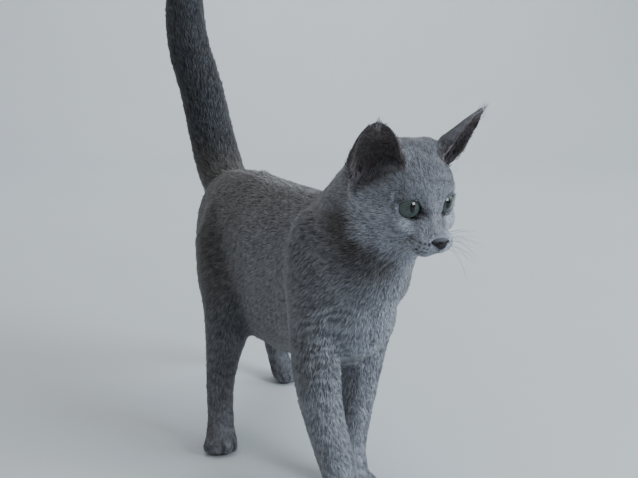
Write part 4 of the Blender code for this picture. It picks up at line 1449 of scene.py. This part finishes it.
# ------------------------------------------------------------------ whiskers
def whisker_tree():
    """Sweep a round section along each line, thinning to the tip."""
    tree = bpy.data.node_groups.new("whisker_sweep", "GeometryNodeTree")
    face = tree.interface
    face.new_socket("Geometry", in_out="INPUT", socket_type="NodeSocketGeometry")
    face.new_socket("Root radius", in_out="INPUT", socket_type="NodeSocketFloat")
    face.new_socket("Material", in_out="INPUT", socket_type="NodeSocketMaterial")
    face.new_socket("Geometry", in_out="OUTPUT", socket_type="NodeSocketGeometry")
    given = add(tree, "NodeGroupInput")
    lines = add(tree, "GeometryNodeMeshToCurve", {"Mesh": given.outputs["Geometry"]})
    along = add(tree, "GeometryNodeSplineParameter").outputs["Factor"]
    taper = sums(tree, "POWER", sums(tree, "SUBTRACT", 1.0, along), 0.7)
    width = sums(tree, "ADD", sums(tree, "MULTIPLY", taper, 0.82), 0.18)
    scale = sums(tree, "MULTIPLY", width, given.outputs["Root radius"])
    section = add(tree, "GeometryNodeCurvePrimitiveCircle", {"Resolution": 6, "Radius": 1.0})
    swept = add(tree, "GeometryNodeCurveToMesh", {
        "Curve": lines.outputs[0], "Profile Curve": section.outputs["Curve"],
        "Scale": scale, "Fill Caps": True,
    })
    real = add(tree, "GeometryNodeRealizeInstances", {"Geometry": swept.outputs[0]})
    painted = add(tree, "GeometryNodeSetMaterial", {
        "Geometry": real.outputs[0], "Material": given.outputs["Material"],
    })
    out = add(tree, "NodeGroupOutput")
    tree.links.new(painted.outputs[0], out.inputs[0])
    return tree


def swept_line(start, way, bend, reach, points):
    """A hair's line that leaves along way and bends off as it goes."""
    return [start + way * reach * t + bend * reach * t * t for t in np.linspace(0.0, 1.0, points)]


def whisker_paths(rng):
    """Lines for the hairs of muzzle, brow and ear tips, rooted in the skin."""
    paths = []
    for index, root in enumerate(whisker_roots()):
        row = (index % WHISKERS_A_SIDE) // 5
        reach = rng.uniform(0.026, 0.040)
        forward = -0.28 + rng.normal(0, 0.12)
        way = unit(np.array([np.sign(root[0]), forward, 0.24 - 0.24 * row + rng.normal(0, 0.07)]))
        bend = np.array([0.0, 0.25, -0.34 + rng.normal(0, 0.08)])
        paths.append(swept_line(np.array(root) + np.array([0.0, 0.0012, 0.0]), way, bend, reach, 11))
    for sign in SIDES.values():
        for step in range(3):
            start = np.array([sign * (0.0130 + 0.0022 * step), 0.0010, 0.0105 + 0.0008 * step])
            way = unit(np.array([sign * (0.25 + 0.2 * step), -0.35, 0.85]))
            bend = np.array([sign * 0.1, 0.45, 0.1])
            paths.append(swept_line(start, way, bend, rng.uniform(0.016, 0.022), 9))
    for side in SIDES:
        root, tall, axes = ear_axes(side)
        along = axes[0]
        for _ in range(EAR_TIP_HAIRS):
            start = root + along * tall
            start = start - along * rng.uniform(0.0005, 0.007) + rng.normal(0.0, 0.0013, 3)
            way = unit(along + rng.normal(0.0, 0.17, 3))
            paths.append(swept_line(start, way, 0.0 * way, rng.uniform(0.0050, 0.0090), 4))
    return [from_head(np.array(path)) for path in paths]


class KITTEN_OT_whiskers(bpy.types.Operator):
    """Grow the whiskers of muzzle and brow and the fine hairs at the ear tips"""

    bl_idname = "kitten.whiskers"
    bl_label = "Whiskers"

    def execute(self, context):
        points, edges = [], []
        for path in whisker_paths(np.random.default_rng(23)):
            first = len(points)
            points.extend(tuple(point) for point in path)
            edges.extend((first + i, first + i + 1) for i in range(len(path) - 1))
        mesh = bpy.data.meshes.new("whiskers")
        mesh.from_pydata(points, edges, [])
        whiskers = link(bpy.data.objects.new("whiskers", mesh))
        tree = whisker_tree()
        sweep = whiskers.modifiers.new("sweep", "NODES")
        sweep.node_group = tree
        given = [item for item in tree.interface.items_tree if item.in_out == "INPUT"]
        sockets = {item.name: item.identifier for item in given}
        sweep[sockets["Root radius"]] = sizes().whisker_radius
        sweep[sockets["Material"]] = whisker_material()
        bake_modifiers(whiskers)
        if not len(whiskers.data.polygons):
            raise RuntimeError("the whiskers came out empty")
        whiskers.data.shade_smooth()
        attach(whiskers, "root")
        return {"FINISHED"}


# ------------------------------------------------------------------ stage
def area_light(name, place, aim, size, power, colour):
    """A soft rectangular lamp that shines from its place to its aim."""
    light = bpy.data.lights.new(name, "AREA")
    light.shape = "RECTANGLE"
    light.size, light.size_y = size
    light.energy = power
    light.color = colour
    lamp = link(bpy.data.objects.new(name, light))
    lamp.location = place
    lamp.rotation_euler = (Vector(aim) - Vector(place)).to_track_quat("-Z", "Y").to_euler()
    return lamp


class KITTEN_OT_stage(bpy.types.Operator):
    """Set the pale floor and sweep, the soft lights and the camera"""

    bl_idname = "kitten.stage"
    bl_label = "Stage"

    def execute(self, context):
        scene = context.scene
        profile = [(0.0, FLOOR_FRONT), (0.0, SWEEP_START)]
        for bend in np.linspace(0.1, math.pi / 2, 10):
            height = SWEEP_RADIUS - SWEEP_RADIUS * math.cos(bend)
            profile.append((height, SWEEP_START + SWEEP_RADIUS * math.sin(bend)))
        profile.append((WALL_TOP, SWEEP_START + SWEEP_RADIUS))
        turn = Matrix.Rotation(math.radians(CAMERA_TURN[2]), 3, "Z")
        points, faces = [], []
        for height, reach in profile:
            for side in (-FLOOR_HALF_WIDTH, FLOOR_HALF_WIDTH):
                points.append(turn @ Vector((side, reach, height - FLOOR_BELOW)))
        for step in range(len(profile) - 1):
            a = step * 2
            faces.append((a, a + 1, a + 3, a + 2))
        floor = mesh_object("studio_floor", points, faces)
        floor.data.shade_smooth()
        made, tree, shader = new_material("pale_floor", Roughness=0.62)
        pale = mixed(tree, noise(tree, 240.0, 2.0), linear(colours().floor), linear(FLOOR_CLOUD))
        tree.links.new(pale, shader.inputs["Base Color"])
        floor.data.materials.append(made)
        world = bpy.data.worlds.new("studio_air")
        world.use_nodes = True
        air = world.node_tree.nodes["Background"]
        air.inputs["Color"].default_value = AIR_COLOUR
        air.inputs["Strength"].default_value = AIR_STRENGTH
        scene.world = world
        for light in LIGHTS:
            area_light(*light)
        view = bpy.data.cameras.new("camera")
        view.lens = CAMERA_LENS
        view.sensor_width = 36.0
        view.clip_start = 0.01
        camera = link(bpy.data.objects.new("camera", view))
        camera.location = CAMERA_FROM_ORIGIN
        camera.rotation_euler = [math.radians(angle) for angle in CAMERA_TURN]
        scene.camera = camera
        return {"FINISHED"}


# ------------------------------------------------------------------ add-on
class KITTEN_PT_sidebar(bpy.types.Panel):
    """Lists the kitten's pieces and their sizes"""

    bl_label = "Kitten"
    bl_idname = "KITTEN_PT_sidebar"
    bl_space_type = "VIEW_3D"
    bl_region_type = "UI"
    bl_category = "Kitten"

    def draw(self, context):
        for operator in OPERATORS:
            self.layout.operator(operator.bl_idname)
        for group in (context.scene.kitten_sizes, context.scene.kitten_colours):
            for key in group.bl_rna.properties.keys():
                if key not in ("rna_type", "name"):
                    self.layout.prop(group, key)


OPERATORS = (
    KITTEN_OT_skin,
    KITTEN_OT_eyes,
    KITTEN_OT_nose,
    KITTEN_OT_coat,
    KITTEN_OT_whiskers,
    KITTEN_OT_stage,
)
CLASSES = (KittenSizes, KittenColours, *OPERATORS, KITTEN_PT_sidebar)


def register():
    for item in CLASSES:
        bpy.utils.register_class(item)
    bpy.types.Scene.kitten_sizes = bpy.props.PointerProperty(type=KittenSizes)
    bpy.types.Scene.kitten_colours = bpy.props.PointerProperty(type=KittenColours)


def unregister():
    del bpy.types.Scene.kitten_colours
    del bpy.types.Scene.kitten_sizes
    for item in reversed(CLASSES):
        bpy.utils.unregister_class(item)


def main():
    register()
    for operator in OPERATORS:
        group, name = operator.bl_idname.split(".")
        getattr(getattr(bpy.ops, group), name)()


if __name__ == "__main__":
    main()
